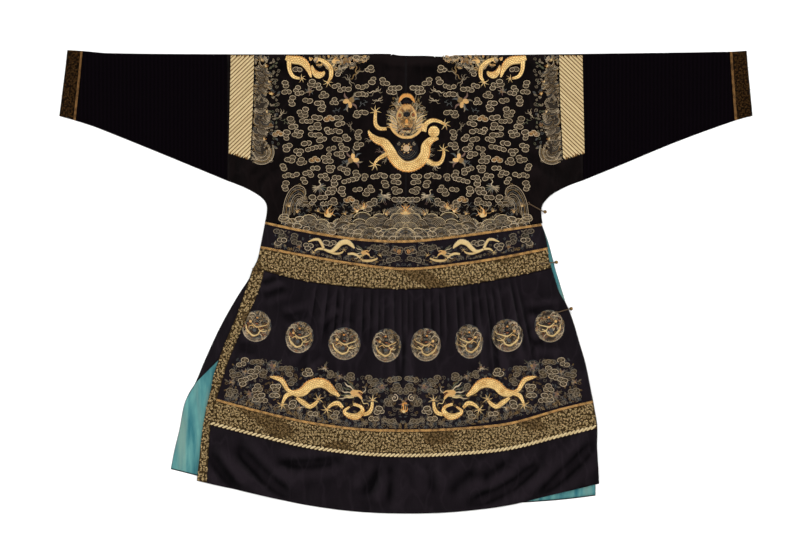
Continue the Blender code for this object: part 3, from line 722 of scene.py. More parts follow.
@dataclass(frozen=True)
class SilkCord(Finish):
    """Rolled silk cord of the loops: dull tan with a twist along it."""

    label: str = "tan_silk_cord"
    face: str = "#57432c"

    def dress(self, tree: Tree, shader: Shader) -> None:
        """Slanted twist."""
        twist = self.stripes(tree, self.place(tree, 0.6), 1.6)
        tree.links.new(self.ramp(tree, twist, linear(self.face, 0.45), linear(self.face, 1.2)),
                       shader.inputs["Base Color"])
        self.relief(tree, shader, twist, 0.3)
        self.set(shader, Roughness=0.6, Specular_IOR_Level=0.3)


@dataclass(frozen=True)
class BackdropPaper(Finish):
    """Matt paper of the studio floor: almost white, with a faint tooth."""

    label: str = "backdrop_paper"
    face: str = "#f7f7f6"

    def dress(self, tree: Tree, shader: Shader) -> None:
        """Faint mottling and tooth."""
        mottle = self.noise(tree, self.place(tree), 40, 4)
        tree.links.new(self.ramp(tree, mottle, linear(self.face, 0.985), linear(self.face)),
                       shader.inputs["Base Color"])
        self.relief(tree, shader, mottle, 0.1)
        self.set(shader, Roughness=0.9, Specular_IOR_Level=0.1)


# ------------------------------------------------------------------ bodice, sleeves and cuffs
class Side(Enum):
    """Side of the robe as it lies, with its sign along x."""

    LEFT = -1
    RIGHT = 1

    @property
    def word(self) -> str:
        """Name of the side as it stands in the names of the solids."""
        return self.name.lower()


def row_value(column: int, row: Array) -> Array:
    """Value of a bodice table column at a row: smooth round the armpit, straight above it."""
    values = BODICE_ROWS[:, column]
    low = through(list(enumerate(values[:ARMPIT_ROW + 1])), np.minimum(row, ARMPIT_ROW))
    return np.where(row <= ARMPIT_ROW, low, np.interp(row, np.arange(len(values)), values))


@dataclass
class Bodice:
    """Left and right bodice, each back and front in one piece, and the overlap below the right one."""

    finish: Finish
    seam: float = 0.02          # the panels are sewn edge to edge
    arc_steps: int = 8
    overlap_rows: int = 30
    pieces: dict[str, Cloth] = field(default_factory=dict)

    def row_points(self, side: Side, share: Array, row: Array) -> tuple[Array, Array]:
        """Points of the bodice at a share of its width and at a row of its table."""
        first = 0 if side is Side.LEFT else 2
        x = share * row_value(first, row)
        y = mix(row_value(4, row), row_value(first + 1, row), share)
        seam = waist_seam(self.seam)(x) - mix(BODICE_ROWS[0, 4], BODICE_ROWS[0, first + 1], share)
        return x, y + seam * np.maximum(1 - row, 0)

    def panel(self, side: Side) -> None:
        """Lay one half: up the back, over the shoulder fold and down the front."""
        join = SLEEVE_JOIN_RIGHT if side is Side.RIGHT else -SLEEVE_JOIN_LEFT
        neck_edge = NECK_CENTRE + side.value * NECK_HALF_WIDTH
        near, far = spaced(self.seam, abs(neck_edge)), spaced(abs(neck_edge), join - self.seam)
        places = np.concatenate((near, far[1:]))
        share = (places / join)[:, None]
        x_top = side.value * places[:, None]
        steps = [np.linspace(r, r + 1, max(2, round((b - a) / GRID)), endpoint=False)
                 for r, (a, b) in enumerate(zip(BODICE_ROWS[:-1, 4], BODICE_ROWS[1:, 4]))]
        rows = np.concatenate(steps + [[len(BODICE_ROWS) - 1.0]])[None, :]
        x, y = self.row_points(side, share, rows)
        back = np.stack((x, y, back_height(x, y)), -1)

        turn = np.linspace(0, 1, self.arc_steps + 1)[None, :]
        arc = turn_over(x_top, turn)
        inside = np.abs(x_top[:, 0] - NECK_CENTRE) < NECK_HALF_WIDTH - SEAM_GAP
        edge = through(TOP_EDGE, x_top)
        low_edge = np.broadcast_to(neckline(x_top), arc.shape[:2])
        at_fold = turn < 1 / self.arc_steps / 2
        neck = np.stack((np.broadcast_to(x_top, arc.shape[:2]), np.where(at_fold, edge, low_edge),
                         np.where(at_fold, back_height(x_top, edge), front_height(x_top))), -1)
        arc = np.where(inside[:, None, None], neck, arc)

        down = np.linspace(NECK_ROW, 0, 2 * NECK_ROW + 1)[None, :]
        x, y = self.row_points(side, share, down)
        front = np.stack((x, y, front_height(x)), -1)
        bridge = mix(arc[:, -1:], front[:, :1], np.linspace(0, 1, 5)[1:-1][None, :, None])
        points = np.concatenate((back, arc, bridge, front), 1)
        skip = np.zeros((points.shape[0] - 1, points.shape[1] - 1), bool)
        within = np.abs((x_top[:-1, 0] + x_top[1:, 0]) / 2 - NECK_CENTRE) < NECK_HALF_WIDTH
        skip[:, back.shape[1]:back.shape[1] + self.arc_steps] = within[:, None]
        if side is Side.RIGHT:
            points, skip = points[::-1], skip[::-1]
        name = "bodice_" + side.word
        cloth = Cloth(name, self.finish, "black_silk", (0.5, 1.06), rests_on=("front_overlap_cloth",))
        self.pieces[name] = cloth.lay(points, skip)

    def overlap(self) -> None:
        """Lay the overlap of the front, under the right half."""
        x = spaced(0.5, OVERLAP_SIDE)[:, None]
        top = mix(neckline(np.zeros(1)), OVERLAP_SIDE_TOP, smooth(x / OVERLAP_SIDE))
        y = mix(waist_seam(HALF_GAP)(x), top, np.linspace(0, 1, self.overlap_rows)[None, :])
        points = np.stack((np.broadcast_to(x, y.shape), y, np.full_like(y, FRONT_MID)), -1)
        cloth = Cloth("front_overlap", self.finish, "black_silk", (0.35, 0.42))
        self.pieces[cloth.name] = cloth.lay(points)

    def build(self) -> None:
        """Lay the three pieces."""
        self.overlap()
        for side in Side:
            self.panel(side)


class CuffLine(NamedTuple):
    """Places of a cuff: x at the underside and at the fold, of its inner and its open edge."""

    side: Side
    join: float
    inner_low: float
    inner_top: float
    outer_low: float
    outer_top: float


CUFFS = (CuffLine(Side.LEFT, SLEEVE_JOIN_LEFT, -924, -904, -970, -947),
         CuffLine(Side.RIGHT, SLEEVE_JOIN_RIGHT, 920, 906, 970, 953))


def tube_points(low: Array, top: Array, shares: Array) -> Array:
    """Points of a sleeve or cuff along slanted lines from its underside towards the fold."""
    x = mix(low[:, None], top[:, None], shares[None, :])
    y = mix(through(UNDER_EDGE, x), turn_over(x, 0)[..., 1], shares)
    return np.stack((x, y, back_height(x, y)), -1)


@dataclass
class Sleeves:
    """Lower sleeves and cuffs, and the braid where each cuff joins its sleeve."""

    silk: Finish
    brocade: Finish
    braid: Finish
    seam: float = 0.02
    arc_steps: int = 8
    last_share: float = 0.965   # where the cloth starts to turn over the fold
    braid_share: float = 0.14   # width of the braid as a share of the cuff
    reach: float = 190.0        # length of a slanted line from the underside to the fold
    pieces: dict[str, Cloth] = field(default_factory=dict)
    braids: dict[str, Piece] = field(default_factory=dict)

    def tube(self, name: str, finish: Finish, slot: str, flat: tuple[float, float], low: Array,
             top: Array) -> None:
        """Lay a tube between lines that run from its underside to its fold."""
        shares = spaced(0, self.last_share, GRID / self.reach)
        back = tube_points(low, top, shares)
        arc = turn_over(top[:, None], np.linspace(0, 1, self.arc_steps + 1)[None, :])
        front = tube_points(low, top, shares[::-1][::3])
        front[..., 2] = front_height(front[..., 0])
        points = np.concatenate((back, arc, front), 1)
        if top[0] > top[-1]:
            points = points[::-1]
        self.pieces[name] = Cloth(name, finish, slot, flat).lay(points)

    def lay_braid(self, cuff: CuffLine) -> Piece:
        """Lay the flat braid over the cuff seam, from the underside to the fold."""
        sign = cuff.side.value
        across = np.linspace(0, self.braid_share, 3)
        low = mix(cuff.inner_low + sign * HALF_GAP, cuff.outer_low, across)
        top = mix(cuff.inner_top + sign * HALF_GAP, cuff.outer_top, across)
        points = tube_points(low, top, spaced(0, self.last_share, GRID / self.reach))
        points = np.concatenate((points, turn_over(top[:, None], np.linspace(0, 0.5, 5)[None, :])), 1)
        points[..., 2] += SILK / 2 + SEAM_GAP + TRIM / 2
        return trim("cuff_braid_" + cuff.side.word, points if sign < 0 else points[::-1], self.braid)

    def build(self) -> None:
        """Lay both sleeves with their cuffs and braids."""
        for cuff in CUFFS:
            sign, word = cuff.side.value, cuff.side.word
            across = np.linspace(0, 1, 76)
            start = cuff.join + sign * self.seam
            self.tube("sleeve_" + word, self.silk, "sleeve_silk", (0.72, 0.43),
                      mix(start, cuff.inner_low - sign * HALF_GAP, across),
                      mix(start, cuff.inner_top - sign * HALF_GAP, across))
            across = np.linspace(0, 1, 10)
            self.tube("cuff_" + word, self.brocade, "brocade", (0.4, 0.06),
                      mix(cuff.inner_low + sign * HALF_GAP, cuff.outer_low, across),
                      mix(cuff.inner_top + sign * HALF_GAP, cuff.outer_top, across))
            self.braids["cuff_" + word] = self.lay_braid(cuff)


def trim(name: str, points: Array, finish: Finish) -> Piece:
    """Make a narrow trim through a grid of middle points.

    Args:
        name: name of the solid that it stands for.
        points: columns by rows by 3, in mm.
        finish: its finish.

    Returns:
        The trim.
    """
    mesh = bpy.data.meshes.new(name + "_trim")
    fill_mesh(mesh, points.reshape(-1, 3), grid_quads(*points.shape[:2]))
    made = add_piece(name + "_trim", mesh, [finish], "gold_braid", name)
    wall = made.modifiers.new("wall", "SOLIDIFY")
    wall.thickness = TRIM * MM
    wall.offset = 0
    return made


# ------------------------------------------------------------------ waist band and skirt
def rows_between(low: Line, high: Line, count: int) -> list[Line]:
    """Lines from low to high, both included."""
    return [lambda x, t=t: mix(low(x), high(x), t) for t in np.linspace(0, 1, count)]


CROSSING_ROUNDS = 8     # rounds that bring each row and column to their crossing


def grid_points(lines: Sequence[Line], columns: Callable[[Array], Array], count: int,
                height: Height, lift: float = 0.0) -> Array:
    """Points where lines across the robe meet columns down it.

    Args:
        lines: y of x, one for each row.
        columns: x of every column, for an array of y with a row for each line.
        count: number of columns.
        height: middle of the cloth, from x and y.
        lift: height above that.

    Returns:
        Columns by rows by 3, in mm.
    """
    y = np.stack([line(np.zeros(count)) for line in lines])
    for _ in range(CROSSING_ROUNDS):
        x = columns(y)
        y = np.stack([line(x[i]) for i, line in enumerate(lines)])
    return np.stack((x, y, height(x, y) + lift), -1).transpose(1, 0, 2)


ON_CLOTH = SILK / 2 + SEAM_GAP + TRIM / 2


@dataclass
class WaistBand:
    """Band between bodice and skirt, with its brocade and two braids."""

    silk: Finish
    brocade: Finish
    braid: Finish
    columns: int = 150
    pieces: dict[str, Cloth] = field(default_factory=dict)
    trims: list[Piece] = field(default_factory=list)

    def across(self, y: Array) -> Array:
        """Places of the columns at heights y."""
        return mix(through(BAND_LEFT, y), through(BAND_RIGHT, y), np.linspace(0, 1, self.columns)[None, :])

    def grid(self, low: Line, high: Line, rows: int, lift: float = 0.0) -> Array:
        """Grid between two lines of the band."""
        return grid_points(rows_between(low, high, rows), self.across, self.columns, band_height, lift)

    def build(self) -> None:
        """Lay the band and sew its trims on."""
        half = BRAID_WIDTH / 2
        low, seam = level_line("band_hem", HALF_GAP), waist_seam(-HALF_GAP)
        band = Cloth("waist_band", self.silk, "black_silk", (0.86, 0.13), rests_on=("skirt_front_cloth",))
        self.pieces["waist_band"] = band.lay(self.grid(low, seam, 26))
        brocade = Cloth("waist_brocade", self.brocade, "brocade", (0.86, 0.058), TRIM, ("waist_band_cloth",))
        self.pieces["waist_brocade"] = brocade.lay(
            self.grid(low, level_line("lower_braid", -half - SEAM_GAP), 12, ON_CLOTH))
        lower = self.grid(level_line("lower_braid", -half), level_line("lower_braid", half), 4, ON_CLOTH)
        upper = self.grid(level_line("waist", -half), seam, 4, ON_CLOTH)
        self.trims = [trim("waist_braid_lower", lower, self.braid),
                      trim("waist_braid_upper", upper, self.braid)]


@dataclass
class Skirt:
    """Pleated back skirt and hem band, with brocade, braids and the side strip on them."""

    silk: Finish
    brocade: Finish
    braid: Finish
    sample_y: float = -300.0    # height at which the columns' spacing is set
    pieces: dict[str, Cloth] = field(default_factory=dict)
    trims: list[Piece] = field(default_factory=list)
    spans: list[tuple[int, float]] = field(default_factory=list)

    def knots(self, y: Array) -> list[Array]:
        """Places of the strip's edges, the pleats' edges and steps, and the right edge at heights y."""
        made = [through(STRIP_OUTER, y), through(STRIP_INNER, y)]
        for low, high in zip(PLEAT_SHARES, PLEAT_SHARES[1:]):
            made += [fan_x(low, y), fan_x(high, y) - PLEAT_DROP]
        return made + [fan_x(PLEAT_SHARES[-1], y), through(BACK_RIGHT, y)]

    def plan_columns(self) -> None:
        """Share the columns out between the knots, so that each pleat keeps its edge."""
        at = [float(k) for k in self.knots(np.float64(self.sample_y))]
        for k, (a, b) in enumerate(zip(at, at[1:])):
            count = max(1, round((b - a) / GRID))
            self.spans += [(k, t) for t in np.arange(count) / count]
        self.spans.append((len(at) - 2, 1.0))

    def across(self, first: int = 0, last: Optional[int] = None) -> tuple[Callable[[Array], Array], int]:
        """Columns from one number to another, as a function of y, and how many they are."""
        spans = self.spans[first:last]
        knot, share = np.array([k for k, _ in spans]), np.array([t for _, t in spans])

        def places(y: Array) -> Array:
            """Places of the columns at heights y, a row of heights for each line."""
            knots = np.stack(self.knots(y))
            index = knot[None, None, :]
            low = np.take_along_axis(knots, np.broadcast_to(index, (1, *y.shape)), 0)[0]
            high = np.take_along_axis(knots, np.broadcast_to(index + 1, (1, *y.shape)), 0)[0]
            return mix(low, high, share)

        return places, len(spans)

    def grid(self, low: Line, high: Line, rows: int, lift: float = 0.0, first: int = 0,
             last: Optional[int] = None) -> Array:
        """Grid between two lines of the skirt."""
        places, count = self.across(first, last)
        return grid_points(rows_between(low, high, rows), places, count, back_height, lift)

    def strip_end(self) -> int:
        """Column where the side strip ends and the pleated cloth begins."""
        return next(n for n, (k, _) in enumerate(self.spans) if k == 1)

    def build(self) -> None:
        """Lay the skirt and the hem band and sew their trims on."""
        self.plan_columns()
        inner = self.strip_end()
        half, rope = BRAID_WIDTH / 2, ROPE_WIDTH / 2
        hem, seam = level_line("hem"), level_line("rope_braid", -rope)
        top = level_line("band_hem", -HALF_GAP)
        cut = Cloth("hem_band", self.silk, "black_silk", (1.16, 0.17), rests_on=("skirt_front_cloth",))
        self.pieces["hem_band"] = cut.lay(self.grid(hem, seam, 32))
        cut = Cloth("skirt_back", self.silk, "black_silk", (1.3, 0.5), rests_on=("skirt_front_cloth",))
        self.pieces["skirt_back"] = cut.lay(self.grid(seam, top, 84))
        cut = Cloth("skirt_brocade", self.brocade, "brocade", (1.12, 0.075), TRIM, ("skirt_back_cloth",))
        self.pieces["skirt_brocade"] = cut.lay(
            self.grid(level_line("rope_braid", rope + SEAM_GAP),
                      level_line("skirt_braid", -half - SEAM_GAP), 13, ON_CLOTH, inner))
        cut = Cloth("side_strip", self.brocade, "brocade", (0.03, 0.66), TRIM,
                    ("skirt_back_cloth", "hem_band_cloth"))
        self.pieces["side_strip"] = cut.lay(self.grid(hem, top, 116, ON_CLOTH, 0, inner + 1))
        braid = self.grid(level_line("skirt_braid", -half), level_line("skirt_braid", half), 4, ON_CLOTH,
                          inner)
        self.trims = [trim("skirt_braid", braid, self.braid)]


@dataclass
class FrontSkirt:
    """Front skirt on the floor, with the linings and the gore that show beside the back."""

    silk: Finish
    lining: Finish
    tuck: float = 26.0          # lining under the edge of the back
    inset: float = 1.0
    corner: float = 215.0       # lining that shows below the right end of the hem
    hem: float = 3.0            # black bound edge below the lining
    ripple: float = 1.1
    pieces: dict[str, Cloth] = field(default_factory=dict)

    def lining_height(self, x: Array, y: Array) -> Array:
        """Middle of the left lining: soft upright creases where it lies open."""
        wave = 0.5 + 0.5 * np.sin((x - 0.24 * y) / 6.8) * np.cos((x - 0.24 * y) / 17)
        return LINING_MID + self.ripple * wave * smooth((through(STRIP_OUTER, y) - 8 - x) / 18)

    def panel(self, cut: Cloth, columns: int, rows: int, left: Line, right: Line, low: Line, high: Line,
              height: Height) -> None:
        """Lay a piece between two side edges, x of y, and two lines, y of x."""
        share = np.linspace(0, 1, columns)[None, :]
        lines = rows_between(low, high, rows)
        self.pieces[cut.name] = cut.lay(
            grid_points(lines, lambda y: mix(left(y), right(y), share), columns, height))

    def build(self) -> None:
        """Lay the front skirt, then what lies on it."""
        front_hem = level_line("front_hem")
        lining_hem = level_line("front_hem", self.hem)

        def left(y: Array) -> Array:
            """Left edge of the lining and the gore."""
            return through(FRONT_LEFT, y) + self.inset

        def tuck(y: Array) -> Array:
            """Right edge of both, under the back."""
            return through(STRIP_OUTER, y) + self.tuck

        self.panel(Cloth("skirt_front", self.silk, "black_silk", (1.2, 0.78)), 120, 60,
                   lambda y: through(FRONT_LEFT, y), lambda y: through(FRONT_RIGHT, y), front_hem,
                   waist_seam(-HALF_GAP), lambda x, y: np.full_like(x, FRONT_MID))
        self.panel(Cloth("skirt_lining_left", self.lining, "turquoise_silk", (0.12, 0.34), LINING,
                         ("skirt_front_cloth",)), 40, 60, left, tuck, lining_hem,
                   lambda x: through(GORE_HEM, x) - HALF_GAP, self.lining_height)
        self.panel(Cloth("side_gore_left", self.silk, "black_silk", (0.06, 0.45), SILK,
                         ("skirt_front_cloth",)), 14, 60, left, tuck,
                   lambda x: through(GORE_HEM, x) + HALF_GAP,
                   level_line("band_hem", -SEAM_GAP), lambda x, y: np.full_like(x, GORE_MID))
        self.panel(Cloth("skirt_lining_right", self.lining, "turquoise_silk", (0.2, 0.7), LINING,
                         ("skirt_front_cloth",)), 24, 90,
                   lambda y: through(BACK_RIGHT, y) - self.tuck - self.corner * smooth((-430 - y) / 90),
                   lambda y: through(FRONT_RIGHT, y) - self.inset, lining_hem,
                   level_line("waist", -BRAID_WIDTH), lambda x, y: np.full_like(x, LINING_MID))


# ------------------------------------------------------------------ threads
@dataclass(frozen=True)
class GiltThread(Finish):
    """Gilt paper thread laid in rows and tacked down: a ribbed glint broken by rows of tiny ties."""

    label: str = "gilt_thread"
    light: str = "#e6b96c"
    dark: str = "#94642a"
    metal: float = 0.3
    gloss: float = 0.2
    row_mm: float = 1.5         # threads 0.4 mm apart, drawn coarser so that they show
    tie_mm: float = 4.0

    def dress(self, tree: Tree, shader: Shader) -> None:
        """Rows along the stitched shape, ties across them, and worn spots."""
        along = add_node(tree, "Attribute", attribute_name="stitch").outputs["Vector"]
        tone = add_node(tree, "SeparateXYZ", {0: along}).outputs["Z"]
        rows = self.stripes(tree, along, self.row_mm, "Y")
        ties = self.stripes(tree, along, self.tie_mm, "X")
        wear = self.noise(tree, self.place(tree), 5, 3)
        share = self.weighted(tree, (rows, 0.35), (ties, 0.15), (wear, 0.45), (tone, 0.3))
        tree.links.new(self.ramp(tree, share, linear(self.dark), linear(self.light), 0.3, 1.0),
                       shader.inputs["Base Color"])
        self.relief(tree, shader, self.sum(tree, rows, self.times(tree, ties, 0.4)), 0.35)
        self.set(shader, Roughness=0.42, Metallic=self.metal, Specular_IOR_Level=self.gloss)


@dataclass(frozen=True)
class GiltScales(Finish):
    """Gilt thread worked as overlapping scales: each scale bright with a dark red-brown edge."""

    label: str = "gilt_scales"
    light: str = "#eccb86"
    dark: str = "#ba9050"
    edge: str = "#5c3e1e"
    scale_mm: float = 7.6

    def dress(self, tree: Tree, shader: Shader) -> None:
        """Staggered rows of scales."""
        along = add_node(tree, "Attribute", attribute_name="stitch").outputs["Vector"]
        wear = self.noise(tree, self.place(tree), 15, 4)
        gold = self.ramp(tree, wear, linear(self.dark), linear(self.light), 0.32, 0.7)
        unit = 100.0
        scales = add_node(tree, "TexBrick", {
            "Vector": along, "Color1": gold, "Color2": gold, "Mortar": linear(self.edge), "Scale": unit,
            "Mortar Size": 0.085, "Mortar Smooth": 0.9, "Brick Width": self.scale_mm * MM * unit,
            "Row Height": self.scale_mm * 0.62 * MM * unit}, offset=0.5)
        tree.links.new(scales.outputs["Color"], shader.inputs["Base Color"])
        self.relief(tree, shader, self.sum(tree, 1.0, scales.outputs["Fac"], "SUBTRACT"), 0.3)
        self.set(shader, Roughness=0.42, Metallic=0.3, Specular_IOR_Level=0.25)


@dataclass(frozen=True)
class SilkFloss(Finish):
    """Flat silk floss in satin stitch: fine lines across the shape with a soft sheen."""

    label: str = "silk_floss"
    face: str = "#8a6f4d"
    stitch_mm: float = 1.2      # floss 0.5 mm apart, drawn coarser so that it shows

    def dress(self, tree: Tree, shader: Shader) -> None:
        """Stitches across the shape, shaded from one to the next."""
        along = add_node(tree, "Attribute", attribute_name="stitch").outputs["Vector"]
        lines = self.stripes(tree, along, self.stitch_mm, "X", 0.5)
        wear = self.noise(tree, self.place(tree), 6, 3)
        share = self.weighted(tree, (lines, 0.4), (wear, 0.6))
        tree.links.new(self.ramp(tree, share, linear(self.face, 0.6), linear(self.face, 1.35), 0.25, 0.75),
                       shader.inputs["Base Color"])
        self.relief(tree, shader, lines, 0.25)
        self.set(shader, Roughness=0.5, Specular_IOR_Level=0.06)


class Thread(Enum):
    """Threads of the needlework."""

    GOLD = GiltThread("gilt_thread_gold", "#d6ae70", "#99703c")
    PALE = GiltThread("gilt_thread_pale", "#d3bb86", "#9a7b4a")
    CREAM = GiltThread("gilt_thread_cream", "#d2be92", "#a9936a", 0.15)
    SCALES = GiltScales()
    TAN = GiltThread("gilt_thread_worn", "#bba88b", "#7a6a50", 0.1)
    DUSK = GiltThread("gilt_thread_dull", "#85765f", "#4d4334", 0.1)
    BRONZE = GiltThread("gilt_thread_bronze", "#8c6f42", "#483619", 0.15)
    WEFT = GiltThread("gilt_weft", "#cdb280", "#6b532c", 0.2)
    WORN_WEFT = GiltThread("gilt_weft_worn", "#4d3416", "#221306", 0.05, 0.03)
    OLIVE = SilkFloss("floss_olive", "#33291b")
    BROWN = SilkFloss("floss_brown", "#211a13")
    UMBER = SilkFloss("floss_umber", "#664b29")
    ORANGE = SilkFloss("floss_orange", "#b97f40")
    RUST = SilkFloss("floss_rust", "#7b4a2c")
    SLATE = SilkFloss("floss_slate", "#454644")
    MOSS = SilkFloss("floss_moss", "#4b4a38")
    ROSE = SilkFloss("floss_rose", "#604b42")
    DARK = SilkFloss("floss_black", "#080506")


# ------------------------------------------------------------------ drawn lines
def spline(rows: Table, step: float = 2.5, closed: bool = False) -> Array:
    """Smooth curve through table rows.

    Args:
        rows: x, y and any other values, such as a width.
        step: spacing of the points.
        closed: whether the curve returns to its first row.

    Returns:
        The curve's points, with the same columns.
    """
    table = np.asarray(rows, float)
    if closed:
        table = np.concatenate((table[-2:], table, table[:3]))
    lengths = np.linalg.norm(np.diff(table[:, :2], axis=0), axis=1)
    first, last = (2, len(table) - 4) if closed else (0, len(table) - 2)
    at = [k + np.arange(n := max(2, math.ceil(lengths[k] / step))) / n for k in range(first, last + 1)]
    if not closed:
        at.append(np.array([len(table) - 1.0]))
    at = np.concatenate(at)
    number = np.arange(len(table))
    return np.stack([through(np.stack((number, column), 1), at) for column in table.T], 1)


def oval(at: Spot, half_x: float, half_y: float, turn: float = 0.0, count: int = 14,
         start: float = 0.0, end: float = 360.0) -> Array:
    """Points round an oval, or along a part of it, with angles in degrees."""
    closed = end - start >= 360
    angle = np.radians(np.linspace(start, end, count, endpoint=not closed))
    return placed(np.stack((half_x * np.cos(angle), half_y * np.sin(angle)), 1), at, turn)


def placed(points: Table, at: Spot, turn: float = 0.0, size: float = 1.0, flip: int = 1) -> Array:
    """Points of a motif, scaled, turned by degrees and moved to its place.

    Args:
        points: rows of x, y and, where there is a third column, a width.
        at: place of the motif.
        turn: its turn in degrees.
        size: its scale.
        flip: -1 to mirror it first.

    Returns:
        The rows, placed.
    """
    rows = np.array(points, float) * size
    x, y, angle = rows[:, 0] * flip, rows[:, 1].copy(), math.radians(turn)
    rows[:, 0] = at[0] + x * math.cos(angle) - y * math.sin(angle)
    rows[:, 1] = at[1] + x * math.sin(angle) + y * math.cos(angle)
    return rows


def curl(at: Spot, outer: float, inner: float, start: float, turns: float) -> Array:
    """Points along a spiral from its outer end inwards, with its start in degrees."""
    share = np.linspace(0, 1, max(5, round(abs(turns) * 11)))
    angle = np.radians(start) + turns * 2 * np.pi * share
    radius = mix(outer, inner, share)
    return np.stack((at[0] + radius * np.cos(angle), at[1] + radius * np.sin(angle)), 1)


WAVE_THREADS = (Thread.TAN, Thread.DUSK, Thread.TAN, Thread.BRONZE, Thread.TAN, Thread.SLATE)


@dataclass
class Needlework:
    """Needlework on one part of the robe, drawn shape by shape and made into one mesh.

    Every shape lies on the cloth, with its edges sunk a little into it. Where mirror is set, each shape is
    worked a second time on the other side of that line.
    """

    name: str
    height: Height = back_height
    lift: float = SILK / 2
    mirror: Optional[float] = None
    seed: int = 1
    sink: float = 0.12
    count: int = 0
    points: list[Array] = field(default_factory=list)
    rises: list[Array] = field(default_factory=list)
    stitches: list[Array] = field(default_factory=list)
    quads: list[Array] = field(default_factory=list)
    triangles: list[Array] = field(default_factory=list)
    quad_threads: list[Array] = field(default_factory=list)
    triangle_threads: list[Array] = field(default_factory=list)

    def __post_init__(self) -> None:
        """Start the seeded chance that varies the threads."""
        self.chance = np.random.default_rng(self.seed)

    def add(self, flat: Array, rise: Array, stitch: Array, quads: Array, triangles: Array,
            thread: Thread) -> None:
        """Keep a shape, and its mirrored copy where there is one.

        Args:
            flat: x and y of its points.
            rise: height of each point above the cloth.
            stitch: place along and across the stitches.
            quads: its faces with four corners.
            triangles: its faces with three.
            thread: what it is worked in.
        """
        tone = np.full((len(flat), 1), self.chance.random() * 1.0)
        stitch = np.concatenate((stitch * MM, tone), 1)
        number = list(Thread).index(thread)
        for copy in range(1 if self.mirror is None else 2):
            points = flat.copy()
            if copy:
                points[:, 0] = 2 * self.mirror - points[:, 0]
            order = -1 if copy else 1
            self.points.append(points)
            self.rises.append(rise)
            self.stitches.append(stitch)
            self.quads.append(quads[:, ::order] + self.count)
            self.triangles.append(triangles[:, ::order] + self.count)
            self.quad_threads.append(np.full(len(quads), number))
            self.triangle_threads.append(np.full(len(triangles), number))
            self.count += len(points)

    def ribbon(self, path: Array, width: Union[float, Array], rise: float, thread: Thread,
               closed: bool = False, ridges: int = 3) -> None:
        """Work a rounded ribbon along a path."""
        path = np.asarray(path, float)[:, :2]
        width = np.broadcast_to(np.asarray(width, float), len(path))
        run = np.roll(path, -1, 0) - np.roll(path, 1, 0) if closed else np.gradient(path, axis=0)
        run = run / np.maximum(np.linalg.norm(run, axis=1, keepdims=True), 1e-6)
        side = np.stack((-run[:, 1], run[:, 0]), 1)
        share = np.linspace(-0.5, 0.5, ridges)
        flat = path[:, None] + side[:, None] * (share[None] * width[:, None])[..., None]
        dome = 1 - (2 * share) ** 2 * (ridges > 2)
        full = np.minimum(width / max(width.max() * 0.6, 0.1), 1)
        lift = rise * dome[None] * full[:, None] - self.sink * (1 - dome)[None]
        along = np.concatenate(([0], np.cumsum(np.linalg.norm(np.diff(path, axis=0), axis=1))))
        stitch = np.stack(np.broadcast_arrays(along[:, None], share[None] * width[:, None]), -1)
        quads = grid_quads(len(path), ridges)
        if closed:
            last, first = np.arange(ridges - 1) + (len(path) - 1) * ridges, np.arange(ridges - 1)
            quads = np.concatenate((quads, np.stack((last, first, first + 1, last + 1), 1)))
        self.add(flat.reshape(-1, 2), lift.ravel(), stitch.reshape(-1, 2), quads, np.zeros((0, 3), int),
                 thread)

    def stroke(self, rows: Table, rise: float, thread: Thread, width: Optional[float] = None,
               step: float = 2.5, ridges: int = 3) -> None:
        """Work a ribbon through rows of x, y and width, or of one width."""
        path = spline(rows, step)
        self.ribbon(path, path[:, 2] if width is None else width, rise, thread, False, ridges)

    def pad(self, outline: Array, rise: float, thread: Thread) -> None:
        """Work a filled, slightly domed shape."""
        outline = np.asarray(outline, float)[:, :2]
        x, y = outline.T
        if (x * np.roll(y, -1) - y * np.roll(x, -1)).sum() < 0:
            outline = outline[::-1]
        centre, count = outline.mean(0), len(outline)
        flat = np.concatenate((outline, mix(outline, centre, 0.4), centre[None]))
        lift = np.repeat((-self.sink, rise * 0.85, rise), (count, count, 1))
        first = np.arange(count)
        ahead = np.roll(first, -1)
        quads = np.stack((first, ahead, ahead + count, first + count), 1)
        triangles = np.stack((first + count, ahead + count, np.full(count, 2 * count)), 1)
        self.add(flat, lift, flat - centre, quads, triangles, thread)

    def strip(self, low: Array, high: Array, rise: float, thread: Thread, edge: float = -0.12) -> None:
        """Work a rounded strip between two lines with as many points, its sides at edge above the cloth."""
        ridges = 3
        share = np.linspace(0, 1, ridges)
        flat = mix(low[:, None], high[:, None], share[None, :, None])
        dome = 1 - (2 * share - 1) ** 2
        lift = np.broadcast_to(mix(edge, rise, dome), flat.shape[:2])
        along = np.linalg.norm(low - low[0], axis=1)
        width = np.linalg.norm(high[0] - low[0])
        stitch = np.stack(np.broadcast_arrays(along[:, None], share[None] * width), -1)
        self.add(flat.reshape(-1, 2), lift.ravel(), stitch.reshape(-1, 2), grid_quads(len(low), ridges),
                 np.zeros((0, 3), int), thread)

    def finish(self) -> Piece:
        """Make the mesh of all the shapes.

        Returns:
            The piece.
        """
        flat, rise = np.concatenate(self.points), np.concatenate(self.rises)
        threads = np.concatenate(self.quad_threads + self.triangle_threads)
        used, slots = np.unique(threads, return_inverse=True)
        z = self.height(flat[:, 0], flat[:, 1]) + self.lift + rise
        quads, triangles = np.concatenate(self.quads), np.concatenate(self.triangles)
        mesh = bpy.data.meshes.new(self.name)
        fill_mesh(mesh, np.column_stack((flat, z)), quads, triangles, slots)
        stitch = mesh.attributes.new("stitch", "FLOAT_VECTOR", "POINT")
        stitch.data.foreach_set("vector", np.concatenate(self.stitches).astype(np.float32).ravel())
        LOG.info("%s: %d triangles", self.name, 2 * len(quads) + len(triangles))
        return add_piece(self.name, mesh, [list(Thread)[n].value for n in used], None)

